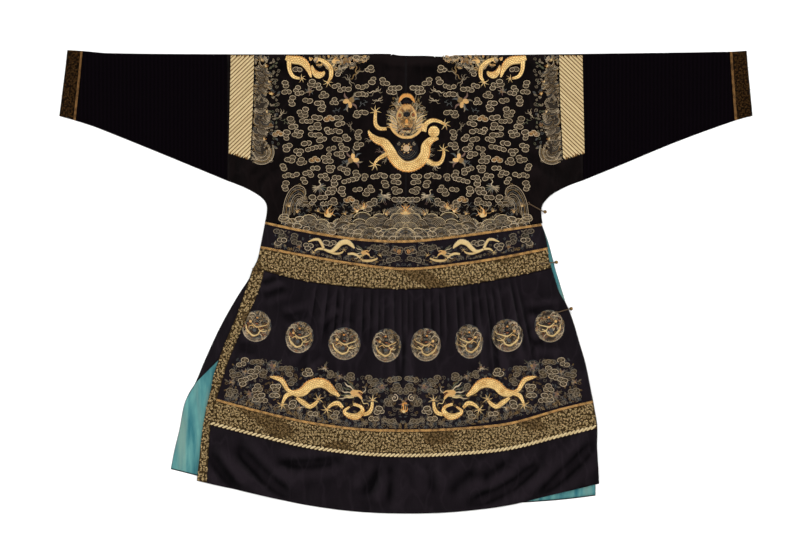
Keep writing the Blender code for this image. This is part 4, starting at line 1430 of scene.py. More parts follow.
    # -------------------------------------------------------------- small motifs
    def ring(self, at: Spot, half_x: float, half_y: float, turn: float, line: float = 2.3,
             outline: Thread = Thread.TAN, fill: Optional[Thread] = Thread.OLIVE, rise: float = 0.55,
             core: float = 0.45) -> None:
        """Work an oval ring with a filled ground and a small curl in it."""
        edge = oval(at, half_x, half_y, turn)
        if fill:
            self.pad(edge, 0.22, fill)
        self.ribbon(edge, line, rise, outline, closed=True)
        if core:
            start = turn + 360 * self.chance.random()
            self.ribbon(curl(at, half_y * core, half_y * 0.12, start, 1.1), line * 0.62, rise * 0.8,
                        Thread.BRONZE)

    def lobes(self, rows: Table, outline: Thread = Thread.TAN, fill: Thread = Thread.BROWN,
              core: Thread = Thread.DUSK, line: float = 2.0) -> None:
        """Work the lobes of a cloud, rows of x, y and half length, each over the one before it."""
        table = np.asarray(rows, float)
        for n, (x, y, half) in enumerate(table):
            turn, high = self.chance.uniform(-14, 14), 0.4 * half + 2.6
            edge = oval((x, y), half, high, turn, 15)
            self.pad(edge, 0.2, fill)
            over = table[n + 1:]
            away = np.hypot((edge[:, :1] - over[:, 0]) / (over[:, 2] + 0.6),
                            (edge[:, 1:] - over[:, 1]) / (high + 0.6))
            keep = (away > 1).all(1)
            first = int(np.argmin(keep))
            self.runs(np.roll(np.concatenate((edge, edge)), -first, 0)[:16],
                      np.roll(np.concatenate((keep, keep)), -first)[:16], line, 0.55, outline)
            self.ribbon(curl((x, y), high * 0.5, high * 0.1, 360 * self.chance.random(), 1.0), 1.4, 0.4, core)

    def cloud_field(self, box: Box, inside: Mask, clear: Table,
                    threads: Sequence[Thread] = (Thread.TAN,), half: float = 8.8, longest: int = 7,
                    gap: float = 4.0, fill: Thread = Thread.BROWN, line: float = 2.0,
                    core: Thread = Thread.DUSK) -> None:
        """Work wandering chains of flat cloud lobes, step by step, over a field.

        Args:
            box: left, low, right and high end of the field.
            inside: which points may be worked.
            clear: x, y and radius of everything that stands in the field.
            threads: outlines to choose from.
            half: half the length of a lobe.
            longest: most lobes in a chain.
            gap: least space beside a chain.
            fill: ground of the lobes.
            line: width of their outlines.
            core: thread of the curl in each lobe.
        """
        flat, left, low, right, high = np.array((1, 1.55)), *box
        stands, taken = np.array([row[:3] for row in clear], float).reshape(-1, 3), np.zeros((0, 2))
        for start in self.chance.uniform((left, low), (right, high),
                                         (round((right - left) * (high - low) / 30), 2)):
            chain, way, turn = [], self.chance.choice((-1, 1)), self.chance.choice((-1, 1))
            spot, most = start, int(self.chance.integers(3, longest + 1))
            while len(chain) < most:
                free = (np.hypot(*((taken - spot) * flat).T) > 2 * half + gap).all()
                free &= (np.hypot(*(stands[:, :2] - spot).T) > stands[:, 2] + half * 0.6 + gap * 0.4).all()
                free &= all(math.hypot(*((other - spot) * flat)) > half * 1.3 for other in chain[:-1])
                if not free or not inside(spot[None]).all():
                    break
                chain.append(spot)
                if self.chance.random() < 0.42:
                    way = -way
                    step = (way * half * self.chance.uniform(0.2, 0.7),
                            turn * half * self.chance.uniform(0.9, 1.1))
                else:
                    step = (way * half * self.chance.uniform(1.1, 1.35),
                            half * self.chance.uniform(-0.45, 0.45))
                turn = -turn if self.chance.random() < 0.3 else turn
                spot = spot + step
            if len(chain) > 2 or (len(chain) == 2 and self.chance.random() < 0.5):
                sizes = half * self.chance.uniform(0.75, 1.12, len(chain))
                self.lobes(np.column_stack((chain, sizes)), threads[int(self.chance.integers(len(threads)))],
                           fill, core, line)
                taken = np.concatenate((taken, chain))

    def scattered(self, box: Box, spacing: float, inside: Mask) -> Array:
        """Uneven spots that fill the part of a box which may be worked."""
        left, low, right, high = box
        x, y = np.meshgrid(np.arange(left, right, spacing), np.arange(low, high, spacing))
        spots = np.stack((x.ravel(), y.ravel()), 1) + self.chance.uniform(-0.42, 0.42, (x.size, 2)) * spacing
        return spots[inside(spots)]

    def thicket(self, spots: Array, size: float, threads: Sequence[Thread], width: float = 1.3,
                inside: Optional[Mask] = None, rise: float = 0.45) -> None:
        """Work a tangle of small curls and fans of arcs, one at each spot."""
        for spot in spots:
            thread = threads[int(self.chance.integers(len(threads)))]
            turn, reach = self.chance.uniform(0, 360), size * self.chance.uniform(0.65, 1.1)
            if self.chance.random() < 0.55:
                paths = [curl(spot, reach, reach * 0.15, turn, self.chance.choice((-1.2, 1.2)))]
            else:
                paths = [oval(spot, reach * share, reach * share, turn, 8, -70, 70)
                         for share in (1.0, 0.64, 0.3)]
            for path in paths:
                keep = np.ones(len(path), bool) if inside is None else inside(path)
                self.runs(path, keep, width, rise, thread)

    def hills(self, centres: Table, radius: float, facing: float = 90.0, arcs: int = 4,
              inside: Optional[Mask] = None, spread: float = 100.0, lean: float = 22.0,
              crest: Sequence[Thread] = (Thread.TAN, Thread.TAN, Thread.DUSK)) -> None:
        """Work wave hills, far ones first, each hidden where a nearer one stands before it.

        Args:
            centres: centre and, if there is a third column, size of each hill.
            radius: outer radius of a hill of size 1.
            facing: direction of the crests in degrees, from which each one leans a little.
            arcs: lines in each hill.
            inside: which points may be worked.
            spread: angle of the arcs to each side of facing.
            lean: most that a hill leans.
            crest: threads of the outer arc.
        """
        table, base = np.array([[*c, 1.0][:3] for c in centres]), facing
        for n, (x, y, size) in enumerate(table):
            outer, facing = radius * size, base + self.chance.uniform(-lean, lean)
            ground = oval((x, y), outer, outer, facing, 12, -spread, spread)
            if inside is None or inside(ground).all():
                self.pad(ground, 0.2, Thread.BROWN)
            nearer = table[n + 1:]
            for k in range(arcs):
                reach = outer * (1 - k / (arcs + 0.4))
                arc = oval((x, y), reach, reach, facing, 17, -spread, spread)
                clear = np.ones(len(arc), bool) if inside is None else inside(arc)
                away = np.hypot(arc[:, None, 0] - nearer[None, :, 0], arc[:, None, 1] - nearer[None, :, 1])
                clear &= (away > radius * nearer[None, :, 2] * 1.03).all(1)
                thread = self.chance.choice(WAVE_THREADS if k else crest)
                self.runs(arc, clear, 1.7 if k == 0 else 1.3, 0.5, thread)

    def runs(self, path: Array, keep: Array, width: float, rise: float, thread: Thread) -> None:
        """Work the stretches of a path that are kept."""
        marks = np.flatnonzero(np.diff(np.concatenate(([0], keep.astype(int), [0]))))
        for start, end in zip(marks[::2], marks[1::2]):
            if end - start > 1:
                self.ribbon(path[start:end], width, rise, thread)

    def flame(self, at: Spot, size: float, turn: float = 90.0, thread: Thread = Thread.ORANGE,
              tongues: int = 5) -> None:
        """Work an uneven fan of flame tongues round a bright heart."""
        for n in range(tongues):
            lean = (n - (tongues - 1) / 2) / max(tongues - 1, 1)
            length = (1 - 0.35 * abs(lean * 2)) * self.chance.uniform(0.7, 1.15)
            bend = self.chance.uniform(-0.2, 0.2)
            rows = ((0, lean * 0.3, 0.24), (0.45 * length, lean * 0.3 + bend, 0.17),
                    (length, lean * 0.3 - bend, 0.03))
            self.stroke(placed(rows, at, turn + lean * 110, size), 0.7,
                        (Thread.GOLD, thread, Thread.UMBER)[n % 3])
        self.pad(oval(at, size * 0.26, size * 0.3, turn, 9), 0.9, Thread.PALE)

    def posy(self, at: Spot, size: float, turn: float = 0.0, thread: Thread = Thread.GOLD) -> None:
        """Work a worn bunch of treasures: rounded shapes with dull petals and ribbons about them."""
        for n in range(7):
            lean = turn + 51 * n + self.chance.uniform(-14, 14)
            rows = ((0.3, 0, 0.2), (0.7, 0.14 * (-1) ** n, 0.22), (1.05, 0, 0.05))
            self.stroke(placed(rows, at, lean, size), 0.5,
                        (Thread.SLATE, Thread.DUSK, Thread.ROSE, Thread.DUSK)[n % 4])
        pads = (-0.3, 0.16, 0.34, 0.26), (0.28, 0.08, 0.3, 0.3), (-0.05, -0.3, 0.36, 0.22)
        for n, (x, y, wide, high) in enumerate(pads):
            spot = placed(((x, y),), at, turn, size)[0]
            self.pad(oval(spot, size * wide, size * high, turn + 40 * n, 10), 0.8,
                     (thread, Thread.BRONZE, thread)[n])
            self.ribbon(curl(spot, size * high * 0.7, 0.4, 90 * n, 1.1), 1.2, 1.0, Thread.RUST)

    def blossom(self, at: Spot, size: float, thread: Thread = Thread.PALE, petals: int = 5,
                turn: float = 0.0) -> None:
        """Work a flower with round petals and a dark eye."""
        for n in range(petals):
            angle = math.radians(turn + 360 * n / petals)
            spot = (at[0] + math.cos(angle) * size * 0.58, at[1] + math.sin(angle) * size * 0.58)
            self.pad(oval(spot, size * 0.36, size * 0.3, math.degrees(angle), 8), 0.6, thread)
        self.pad(oval(at, size * 0.24, size * 0.24, 0, 8), 0.75, Thread.RUST)

    def scroll_leaf(self, at: Spot, size: float, turn: float = 0.0, thread: Thread = Thread.MOSS) -> None:
        """Work a small spray: a curled stem with three leaves."""
        self.stroke(placed(((-1, -0.4, 0.16), (-0.3, 0.1, 0.16), (0.4, 0.05, 0.14), (0.8, 0.5, 0.1),
                            (0.4, 0.8, 0.08)),
                           at, turn, size), 0.4, thread)
        for x, y, lean in ((-0.4, 0.4, 60), (0.2, -0.3, -70), (0.9, 0.1, -10)):
            spot = placed(((x, y),), at, turn, size)[0]
            self.pad(oval(spot, size * 0.3, size * 0.13, turn + lean, 8), 0.45, thread)

    def crane(self, at: Spot, size: float, flip: int = 1, turn: float = 0.0) -> None:
        """Work a settling crane: a round body, two fans of feathers, a raised neck and trailing legs."""
        def rows(*table: Spot) -> Array:
            """Rows of the bird placed on the robe."""
            return placed(table, at, turn, size, flip)

        for n in range(7):
            heading, reach = math.radians(28 - 21 * n), 0.8 - 0.06 * abs(n - 2)
            across, up = math.cos(heading), math.sin(heading)
            self.stroke(rows((0.05, 0.05, 0.12), (across * reach * 0.6, up * reach * 0.6 + 0.06, 0.15),
                             (across * reach, up * reach, 0.05)), 0.55,
                        (Thread.SLATE, Thread.DUSK, Thread.MOSS)[n % 3])
        for n in range(5):
            heading = math.radians(150 + 17 * n)
            across, up = math.cos(heading), math.sin(heading)
            self.stroke(rows((-0.1, 0, 0.14), (across * 0.42, up * 0.42 + 0.08, 0.15),
                             (across * 0.72, up * 0.72, 0.05)),
                        0.6, (Thread.DUSK, Thread.TAN)[n % 2])
        self.pad(rows(*oval((-0.04, 0.04), 0.3, 0.2, 20, 12)), 0.9, Thread.DUSK)
        self.pad(rows(*oval((-0.08, 0.1), 0.18, 0.11, 20, 10)), 1.1, Thread.TAN)
        self.stroke(rows((0.1, 0.14, 0.12), (0.26, 0.34, 0.1), (0.16, 0.56, 0.09), (0.24, 0.74, 0.1),
                         (0.42, 0.78, 0.03)),
                    0.8, Thread.TAN)
        for lean in (0.0, 0.14):
            self.stroke(rows((0.02, -0.12, 0.05), (-0.06 + lean, -0.5, 0.05), (-0.2 + lean, -0.86, 0.03)),
                        0.4, Thread.ROSE)

    def tuft(self, at: Spot, size: float, turn: float, thread: Thread, strands: int = 5,
             spread: float = 70.0) -> None:
        """Work a tuft of wavy strands that fan out from one place."""
        for n in range(strands):
            lean = (n / max(strands - 1, 1) - 0.5) * spread
            rows = ((0, 0, 0.1), (0.35, 0.12, 0.11), (0.7, -0.06, 0.09), (1.0, 0.16, 0.03))
            self.stroke(placed(rows, at, turn + lean, size * self.chance.uniform(0.7, 1.1), (-1) ** n), 0.55,
                        thread if n % 3 else Thread.DUSK)

    def claw(self, at: Spot, heading: float, size: float = 17.0) -> None:
        """Work a dragon's foot with five spread toes."""
        self.pad(oval(at, size * 0.24, size * 0.22, heading, 9), 1.1, Thread.GOLD)
        for lean in (-104, -50, 0, 50, 104):
            rows = ((0.1, 0, 0.15), (0.55, 0.06, 0.12), (1.0, -0.04, 0.03))
            self.stroke(placed(rows, at, heading + lean, size), 0.8, Thread.PALE, step=3)


# ------------------------------------------------------------------ dragons
@dataclass
class Dragon:
    """A dragon: its body and limbs as rows of x, y and width, its feet with their headings, and its head."""

    bodies: Sequence[Table]
    limbs: Sequence[Table] = ()
    feet: Table = ()            # x, y, heading, size
    head: Optional[Spot] = None      # x, y, turn, size, flip
    fin_side: int = 1
    halo: float = 6.0
    fin_mm: float = 6.5
    skin: Thread = Thread.SCALES
    edge: Thread = Thread.ORANGE

    def reach(self) -> list[tuple[float, float, float]]:
        """Circles that the dragon fills, as x, y and radius."""
        rows = [row for table in (*self.bodies, *self.limbs) for row in spline(table, 12)]
        rows = [(x, y, width / 2 + self.halo / 2) for x, y, width in rows]
        rows += [(x, y, size) for x, y, _, size in self.feet]
        return rows + ([(self.head[0], self.head[1], self.head[3] * 0.75)] if self.head else [])

    def sew(self, work: Needlework) -> None:
        """Work the dark surround, then the limbs, body, fins, feet and head."""
        for rows in [*self.bodies, *self.limbs]:
            path = spline(rows, 4)
            work.ribbon(path, path[:, 2] + self.halo, 0.2, Thread.DARK)
        for rows in self.limbs:
            path = spline(rows, 3)
            work.ribbon(path, path[:, 2], 1.1, self.skin, ridges=5)
            for share, thread in ((-0.36, Thread.PALE), (0.4, Thread.UMBER)):
                run = np.gradient(path[:, :2], axis=0)
                side = np.stack((-run[:, 1], run[:, 0]), 1) / np.linalg.norm(run, axis=1, keepdims=True)
                work.ribbon(path[:, :2] + side * path[:, 2:3] * share, path[:, 2] * 0.16, 0.9, thread)
        for rows in self.bodies:
            path = spline(rows, 3)
            work.ribbon(path, path[:, 2], 1.6, self.skin, ridges=7)
            run = np.gradient(path[:, :2], axis=0)
            run = run / np.linalg.norm(run, axis=1, keepdims=True)
            side = np.stack((-run[:, 1], run[:, 0]), 1) * self.fin_side
            for share, width, rise, thread in ((-0.34, 0.14, 1.4, Thread.PALE), (0.42, 0.13, 1.1, self.edge),
                                               (-0.47, 0.07, 0.7, Thread.UMBER)):
                work.ribbon(path[:, :2] + side * path[:, 2:3] * share, path[:, 2] * width, rise, thread)
            for k in range(2, len(path) - 2, 2):
                root = path[k, :2] + side[k] * (path[k, 2] / 2 - 0.5)
                tip = root + side[k] * self.fin_mm * 0.75 - run[k] * self.fin_mm * 0.5
                work.stroke(((*root, 2.6), (*tip, 0.6)), 0.7, Thread.TAN if k % 4 else self.edge, step=4)
        for x, y, heading, size in self.feet:
            work.claw((x, y), heading, size)
        if self.head:
            self.sew_head(work, *self.head)

    def sew_head(self, work: Needlework, x: float, y: float, turn: float, size: float, flip: int) -> None:
        """Work a head in profile: mane, horns, skull, snout, jaw, eye and whiskers.

        Args:
            work: needlework that takes it.
            x: place across the robe.
            y: place up the robe.
            turn: direction that it looks in, in degrees.
            size: its length.
            flip: -1 where it is mirrored.
        """
        def put(*rows: Spot) -> Array:
            """Rows of the head placed on the robe."""
            return placed(rows, (x, y), turn, size, flip)

        work.pad(put(*oval((-0.05, 0.02), 0.62, 0.5, 0, 14)), 0.25, Thread.DARK)
        for n, lean in enumerate((0.46, 0.3, 0.12, -0.06, -0.24, -0.4)):
            work.stroke(put((-0.18, lean * 0.5, 0.1), (-0.45, lean, 0.11), (-0.62, lean * 1.2 + 0.06, 0.09),
                            (-0.86, lean * 1.5, 0.03)), 0.6, Thread.MOSS if n % 2 else Thread.TAN)
        for rise in (0.16, 0.26):
            work.stroke(put((0, rise, 0.08), (-0.25, rise + 0.14, 0.08), (-0.55, rise + 0.2, 0.03)), 1.2,
                        Thread.PALE)
        work.pad(put(*oval((-0.05, 0.03), 0.3, 0.24, 0, 12)), 1.3, Thread.GOLD)
        work.stroke(put((0, 0.06, 0.26), (0.25, 0.06, 0.2), (0.42, 0.14, 0.16), (0.5, 0.2, 0.08)), 1.3,
                    Thread.GOLD, ridges=5)
        work.stroke(put((-0.05, -0.12, 0.14), (0.2, -0.2, 0.13), (0.42, -0.16, 0.06)), 1.1, Thread.GOLD)
        work.stroke(put((0.1, -0.05, 0.06), (0.3, -0.07, 0.07), (0.42, -0.02, 0.04)), 1.3, Thread.RUST)
        work.pad(put(*oval((0.08, 0.14), 0.09, 0.08, 0, 9)), 1.7, Thread.PALE)
        work.pad(put(*oval((0.09, 0.14), 0.04, 0.04, 0, 7)), 1.9, Thread.DARK)
        work.stroke(put((0.46, 0.18, 0.05), (0.7, 0.4, 0.05), (0.9, 0.3, 0.04), (1.05, 0.44, 0.02)), 0.6,
                    Thread.PALE)
        work.stroke(put((0.4, -0.18, 0.05), (0.5, -0.4, 0.05), (0.36, -0.6, 0.02)), 0.6, Thread.TAN)


FRONT_DRAGON = Dragon(
    bodies=(
        ((-105, 422, 4), (-96, 407, 14), (-81, 396, 21), (-60, 388, 25), (-45, 368, 28),
         (-32, 344, 31), (-12, 326, 32), (11, 322, 32), (37, 333, 31), (53, 356, 29),
         (56, 379, 26), (69, 395, 19), (91, 400, 6)),),
    limbs=(
        ((49, 420, 16), (55, 440, 15), (73, 451, 13), (93, 448, 10), (106, 441, 8)),
        ((-54, 427, 10), (-74, 428, 12), (-85, 440, 12), (-86, 461, 10), (-85, 473, 9)),
        ((-45, 361, 15), (-63, 351, 13), (-78, 342, 10), (-87, 331, 7)),
        ((59, 339, 16), (79, 329, 15), (97, 334, 12), (105, 351, 10), (106, 365, 8))),
    feet=((109, 439, -18, 17), (-85, 476, 92, 17), (-88, 327, -112, 18), (105, 369, 86, 17)),
    fin_side=-1, halo=9.0, fin_mm=2.4)

SHOULDER_DRAGON = Dragon(
    bodies=(
        ((-336, 626, 13), (-319, 620, 22), (-295, 617, 24), (-277, 602, 19), (-265, 571, 4)),
        ((-263, 605, 3), (-258, 588, 13), (-246, 577, 19), (-232, 581, 13), (-229, 588, 5))),
    limbs=(
        ((-326, 617, 15), (-325, 592, 12), (-315, 574, 11), (-297, 568, 7)),
        ((-246, 622, 9), (-227, 615, 13), (-210, 598, 15), (-209, 575, 12), (-216, 560, 7))),
    feet=((-292, 568, -14, 13), (-219, 557, -104, 15)),
    head=(-200, 617, 205, 27, -1), fin_side=1, fin_mm=2.6)

WAIST_DRAGON = Dragon(
    bodies=(
        ((-273, 111, 3), (-257, 117, 7), (-244, 117, 8), (-237, 108, 8), (-230, 93, 7)),
        ((-229, 90, 6), (-210, 84, 10), (-196, 93, 13), (-182, 107, 15), (-165, 111, 15),
         (-152, 102, 11), (-144, 93, 4))),
    limbs=(
        ((-230, 91, 8), (-246, 91, 6), (-255, 85, 4)),
        ((-215, 83, 6), (-196, 78, 7), (-182, 80, 6), (-175, 85, 4)),
        ((-163, 77, 6), (-148, 78, 8), (-136, 73, 7), (-127, 65, 5)),
        ((-123, 59, 6), (-106, 58, 8), (-91, 60, 7), (-79, 65, 5))),
    feet=((-258, 82, -130, 9), (-173, 88, 60, 8), (-125, 62, -50, 8), (-73, 73, 55, 9)),
    head=(-116, 81, 172, 30, -1), fin_side=1, halo=4.0, fin_mm=1.6, skin=Thread.PALE,
    edge=Thread.TAN)

BORDER_DRAGON = Dragon(
    bodies=(
        ((-381, -266, 3), (-364, -270, 11), (-349, -275, 14), (-339, -289, 13), (-332, -302, 11),
         (-319, -309, 9)),
        ((-323, -308, 9), (-305, -313, 20), (-286, -307, 26), (-270, -291, 28), (-244, -283, 28),
         (-223, -289, 25), (-206, -305, 19), (-186, -321, 7)),
        ((-147, -343, 8), (-127, -350, 9), (-122, -363, 13), (-137, -377, 18), (-158, -375, 15),
         (-172, -363, 9), (-157, -350, 5))),
    limbs=(
        ((-318, -313, 13), (-333, -319, 14), (-341, -331, 10), (-345, -341, 7)),
        ((-306, -325, 9), (-288, -337, 16), (-270, -349, 14), (-255, -342, 12), (-246, -333, 8)),
        ((-176, -353, 9), (-190, -341, 14), (-206, -344, 11), (-218, -354, 7)),
        ((-119, -372, 11), (-105, -367, 13), (-96, -354, 11), (-94, -337, 8))),
    feet=((-346, -345, -104, 17), (-244, -329, 66, 16), (-221, -358, -128, 17), (-93, -332, 84, 16)),
    head=(-141, -312, 158, 46, -1), fin_side=1, halo=6.0, fin_mm=2.8)


@dataclass
class FrontFace:
    """Head of the great dragon seen from the front, above its pearl."""

    centre: float = 2
    mane_threads: tuple[Thread, ...] = (Thread.DUSK, Thread.BRONZE, Thread.TAN, Thread.MOSS)

    def reach(self) -> list[tuple[float, float, float]]:
        """Circles that the face and the pearl fill."""
        return [(self.centre, 461, 66.0), (self.centre, 368, 45.0), (79, 419, 22.0)]

    def both(self, work: Needlework, rows: Table, rise: float, thread: Thread) -> None:
        """Work a stroke and its mirrored copy; x is measured from the middle of the face."""
        for flip in (1, -1):
            work.stroke([(self.centre + flip * x, y, w) for x, y, w in rows], rise, thread, step=2)

    def sew(self, work: Needlework) -> None:
        """Work the mane, then the face from its rim to its brow, and the pearl below."""
        middle = self.centre
        work.pad(oval((middle, 368), 40, 42, 0, 20), 0.2, Thread.DARK)

        def ruff(points: Array) -> Array:
            """Points of the uneven ring that the mane fills."""
            x, y = points[:, 0] - middle, points[:, 1] - 469
            reach, lean = np.hypot(x, y * 0.95), np.arctan2(y, np.abs(x))
            return (reach > 20) & (reach < 52 + 6 * np.sin(lean * 9) + 5 * np.sin(lean * 23)) & (lean < 1.15)

        box = (middle - 64, 402, middle + 64, 536)
        work.thicket(work.scattered(box, 6.6, ruff), 6.2, self.mane_threads, 1.5, ruff, 0.5)
        for n in range(16):
            lean = math.radians(-46 + n * 7.5 + work.chance.uniform(-4, 4))
            long, bend = work.chance.uniform(42, 68), work.chance.uniform(-0.5, 0.5)
            rows = [(math.cos(lean + bend * share ** 2) * (24 + (long - 24) * share),
                     463 + math.sin(lean + bend * share ** 2) * (24 + (long - 24) * share), w)
                    for share, w in ((0, 2.6), (0.4, 2.6), (0.75, 2.2), (1, 0.7))]
            self.both(work, rows, 0.75, self.mane_threads[n % 4])
        work.pad(oval((middle, 455), 29, 42, 0, 20), 0.5, Thread.UMBER)
        work.thicket(work.scattered((middle - 27, 410, middle + 27, 494), 6.0, everywhere), 4.6,
                     (Thread.PALE, Thread.RUST, Thread.DUSK, Thread.GOLD, Thread.TAN, Thread.BROWN), 1.5,
                     None, 0.9)
        work.pad(oval((middle, 467), 13, 9.5, 0, 14), 1.2, Thread.DARK)
        work.pad(oval((middle, 427), 16, 6, 0, 14), 1.1, Thread.DARK)
        self.both(work, ((0, 522, 12), (10, 519, 12), (18, 510, 9), (22, 500, 3)), 1.4, Thread.ORANGE)
        rim = ((0, 526, 2.4), (12, 523, 2.4), (21, 512, 2), (25, 498, 1))
        self.both(work, rim, 1.5, Thread.UMBER)
        self.both(work, ((0, 517, 2.6), (10, 514, 2.4), (15, 508, 1.6)), 1.6, Thread.GOLD)
        self.both(work, ((0, 504, 9), (8, 503, 8), (12, 499, 3)), 1.0, Thread.DARK)
        work.pad(oval((middle, 487), 17, 8.5, 0, 16), 1.1, Thread.GOLD)
        work.thicket(work.scattered((middle - 14, 481, middle + 14, 494), 6, everywhere), 3.4,
                     (Thread.PALE, Thread.ORANGE, Thread.UMBER), 1.2, None, 1.5)
        self.both(work, ((0, 493, 6), (10, 491, 7), (19, 482, 7), (25, 467, 6.4),
                         (26, 455, 5), (22, 444, 2.6)), 1.3, Thread.GOLD)
        for n in range(6):
            self.both(work, ((2 + n * 3.6, 489 - n * n * 0.3, 2.4), (2.6 + n * 4, 498 - n * n * 0.4, 0.8)),
                      1.5, Thread.RUST if n % 2 else Thread.ORANGE)
        for n in range(4):
            self.both(work, ((0, 476 - n * 3.8, 2.0), (10 - n, 473 - n * 3.8, 1.4)), 1.4, Thread.SLATE)
        for flip in (1, -1):
            eye = (middle + flip * 19.5, 466)
            work.ribbon(oval(eye, 7.8, 8.8, 0, 16), 3.0, 1.7, Thread.PALE, closed=True)
            work.pad(oval(eye, 4.8, 5.6, 0, 10), 1.3, Thread.RUST)
            work.pad(oval(eye, 1.6, 2.2, 0, 8), 1.7, Thread.DARK)
            work.ribbon(curl((middle + flip * 17, 430), 7, 1.2, 90, 1.4 * flip), 2.0, 1.2, Thread.SLATE)
            work.ribbon(curl((middle + flip * 9, 434), 4.6, 0.8, 90, -1.2 * flip), 1.8, 1.5, Thread.ORANGE)
        work.pad(oval((middle, 448), 5, 8, 0, 12), 1.6, Thread.ORANGE)
        work.pad(oval((middle, 440), 6.5, 3.2, 0, 10), 1.8, Thread.GOLD)
        for n in range(4):
            lip = ((0, 429 - n * 4.4, 2.4), (8, 427 - n * 4.4, 2.4), (15 - n, 431 - n * 3.6, 1))
            self.both(work, lip, 1.2, (Thread.TAN, Thread.RUST, Thread.PALE, Thread.DUSK)[n])
        jaw = ((0, 402, 7), (15, 405, 8), (29, 414, 8.6), (40, 427, 9), (46, 441, 6))
        self.both(work, jaw, 1.3, Thread.GOLD)
        self.both(work, ((0, 406, 2), (15, 408, 2.2), (29, 417, 2.2), (40, 431, 2)), 1.6,
                  Thread.PALE)
        for n in range(13):
            tip, bend = work.chance.uniform(42, 58), work.chance.uniform(-4, 4)
            frill = ((27, 424 + n * 1.8, 3.0), (38, 427 + n * 2.5 + bend, 3.4), (tip, 431 + n * 3.0, 0.9))
            self.both(work, frill, 1.4 + 0.2 * (n % 2),
                      (Thread.PALE, Thread.GOLD, Thread.DUSK, Thread.TAN)[n % 4])
        self.both(work, ((16, 500, 2.4), (25, 514, 2.2), (29, 536, 1)), 0.9, Thread.DUSK)
        self.sew_pearl(work, (middle - 0.5, 373))

    def sew_pearl(self, work: Needlework, at: Spot) -> None:
        """Work the flaming pearl, the waves below it and the round haunch beside it."""
        for k in range(3):
            work.ribbon(oval((at[0], at[1] + 12), 33 - 5 * k, 42 - 5 * k, 0, 13, 212, 328), 1.4, 0.5,
                        (Thread.SLATE, Thread.DUSK, Thread.SLATE)[k])
        for angle in (20, 60, 120, 160, 200, 245, 295, 340):
            work.flame(placed(((13, 0),), at, angle)[0], 8, angle, Thread.RUST, 3)
        for flip in (1, -1):
            work.ribbon(curl((at[0] + flip * 22, at[1] + 12), 5, 1, 90, 1.2 * flip), 1.5, 0.6, Thread.TAN)
        work.pad(oval(at, 11.5, 11.5, 0, 16), 0.9, Thread.TAN)
        work.ribbon(curl(at, 9.5, 1.5, 40, 1.8), 2.6, 1.5, Thread.ORANGE)
        haunch = (78, 419)
        work.pad(oval(haunch, 16, 16.5, 0, 18), 1.8, Thread.SCALES)
        work.ribbon(curl(haunch, 14, 2, 200, 1.6), 1.6, 2.1, Thread.PALE)


# ------------------------------------------------------------------ needlework of the bodice
MIDDLE_GAP = 7.0        # plain cloth beside the middle, where the mirrored halves meet


class Emblem(Enum):
    """Small emblems among the clouds, each a method of Needlework."""

    BLOSSOM = "blossom"
    POSY = "posy"
    LEAF = "scroll_leaf"
    WISP = "tuft"
    FLAME = "flame"


class EmblemRow(NamedTuple):
    """An emblem, its place, size and thread."""

    kind: Emblem
    x: float
    y: float
    size: float
    thread: Thread
    turn: float = 0.0


EMBLEMS = [EmblemRow(*row) for row in (
    (Emblem.POSY, -158, 503, 28, Thread.GOLD, 20), (Emblem.POSY, -270, 533, 13, Thread.DUSK, -50),
    (Emblem.POSY, -148, 342, 27, Thread.GOLD, 190), (Emblem.WISP, -348, 466, 17, Thread.TAN, 60),
    (Emblem.WISP, -84, 531, 22, Thread.TAN, 25), (Emblem.WISP, -78, 505, 20, Thread.TAN, 10),
    (Emblem.WISP, -154, 433, 19, Thread.DUSK, 110), (Emblem.WISP, -137, 581, 26, Thread.BRONZE, 60),
    (Emblem.WISP, -157, 564, 22, Thread.DUSK, 120), (Emblem.LEAF, -339, 447, 11, Thread.MOSS, -40),
    (Emblem.LEAF, -173, 332, 12, Thread.SLATE, 210), (Emblem.FLAME, -379, 525, 9, Thread.ORANGE, 90),
    (Emblem.BLOSSOM, -378, 438, 7, Thread.UMBER, 0), (Emblem.LEAF, -120, 497, 12, Thread.SLATE, 20),
    (Emblem.LEAF, -193, 480, 11, Thread.SLATE, 190), (Emblem.POSY, -168, 617, 17, Thread.UMBER, 70))]
GOLD_CLOUDS = ((-221, 454), (-262, 339), (-165, 227), (-365, 412))
CRANES = ((-243, 262, 27, 1, 14), (-61, 237, 27, -1, 6))


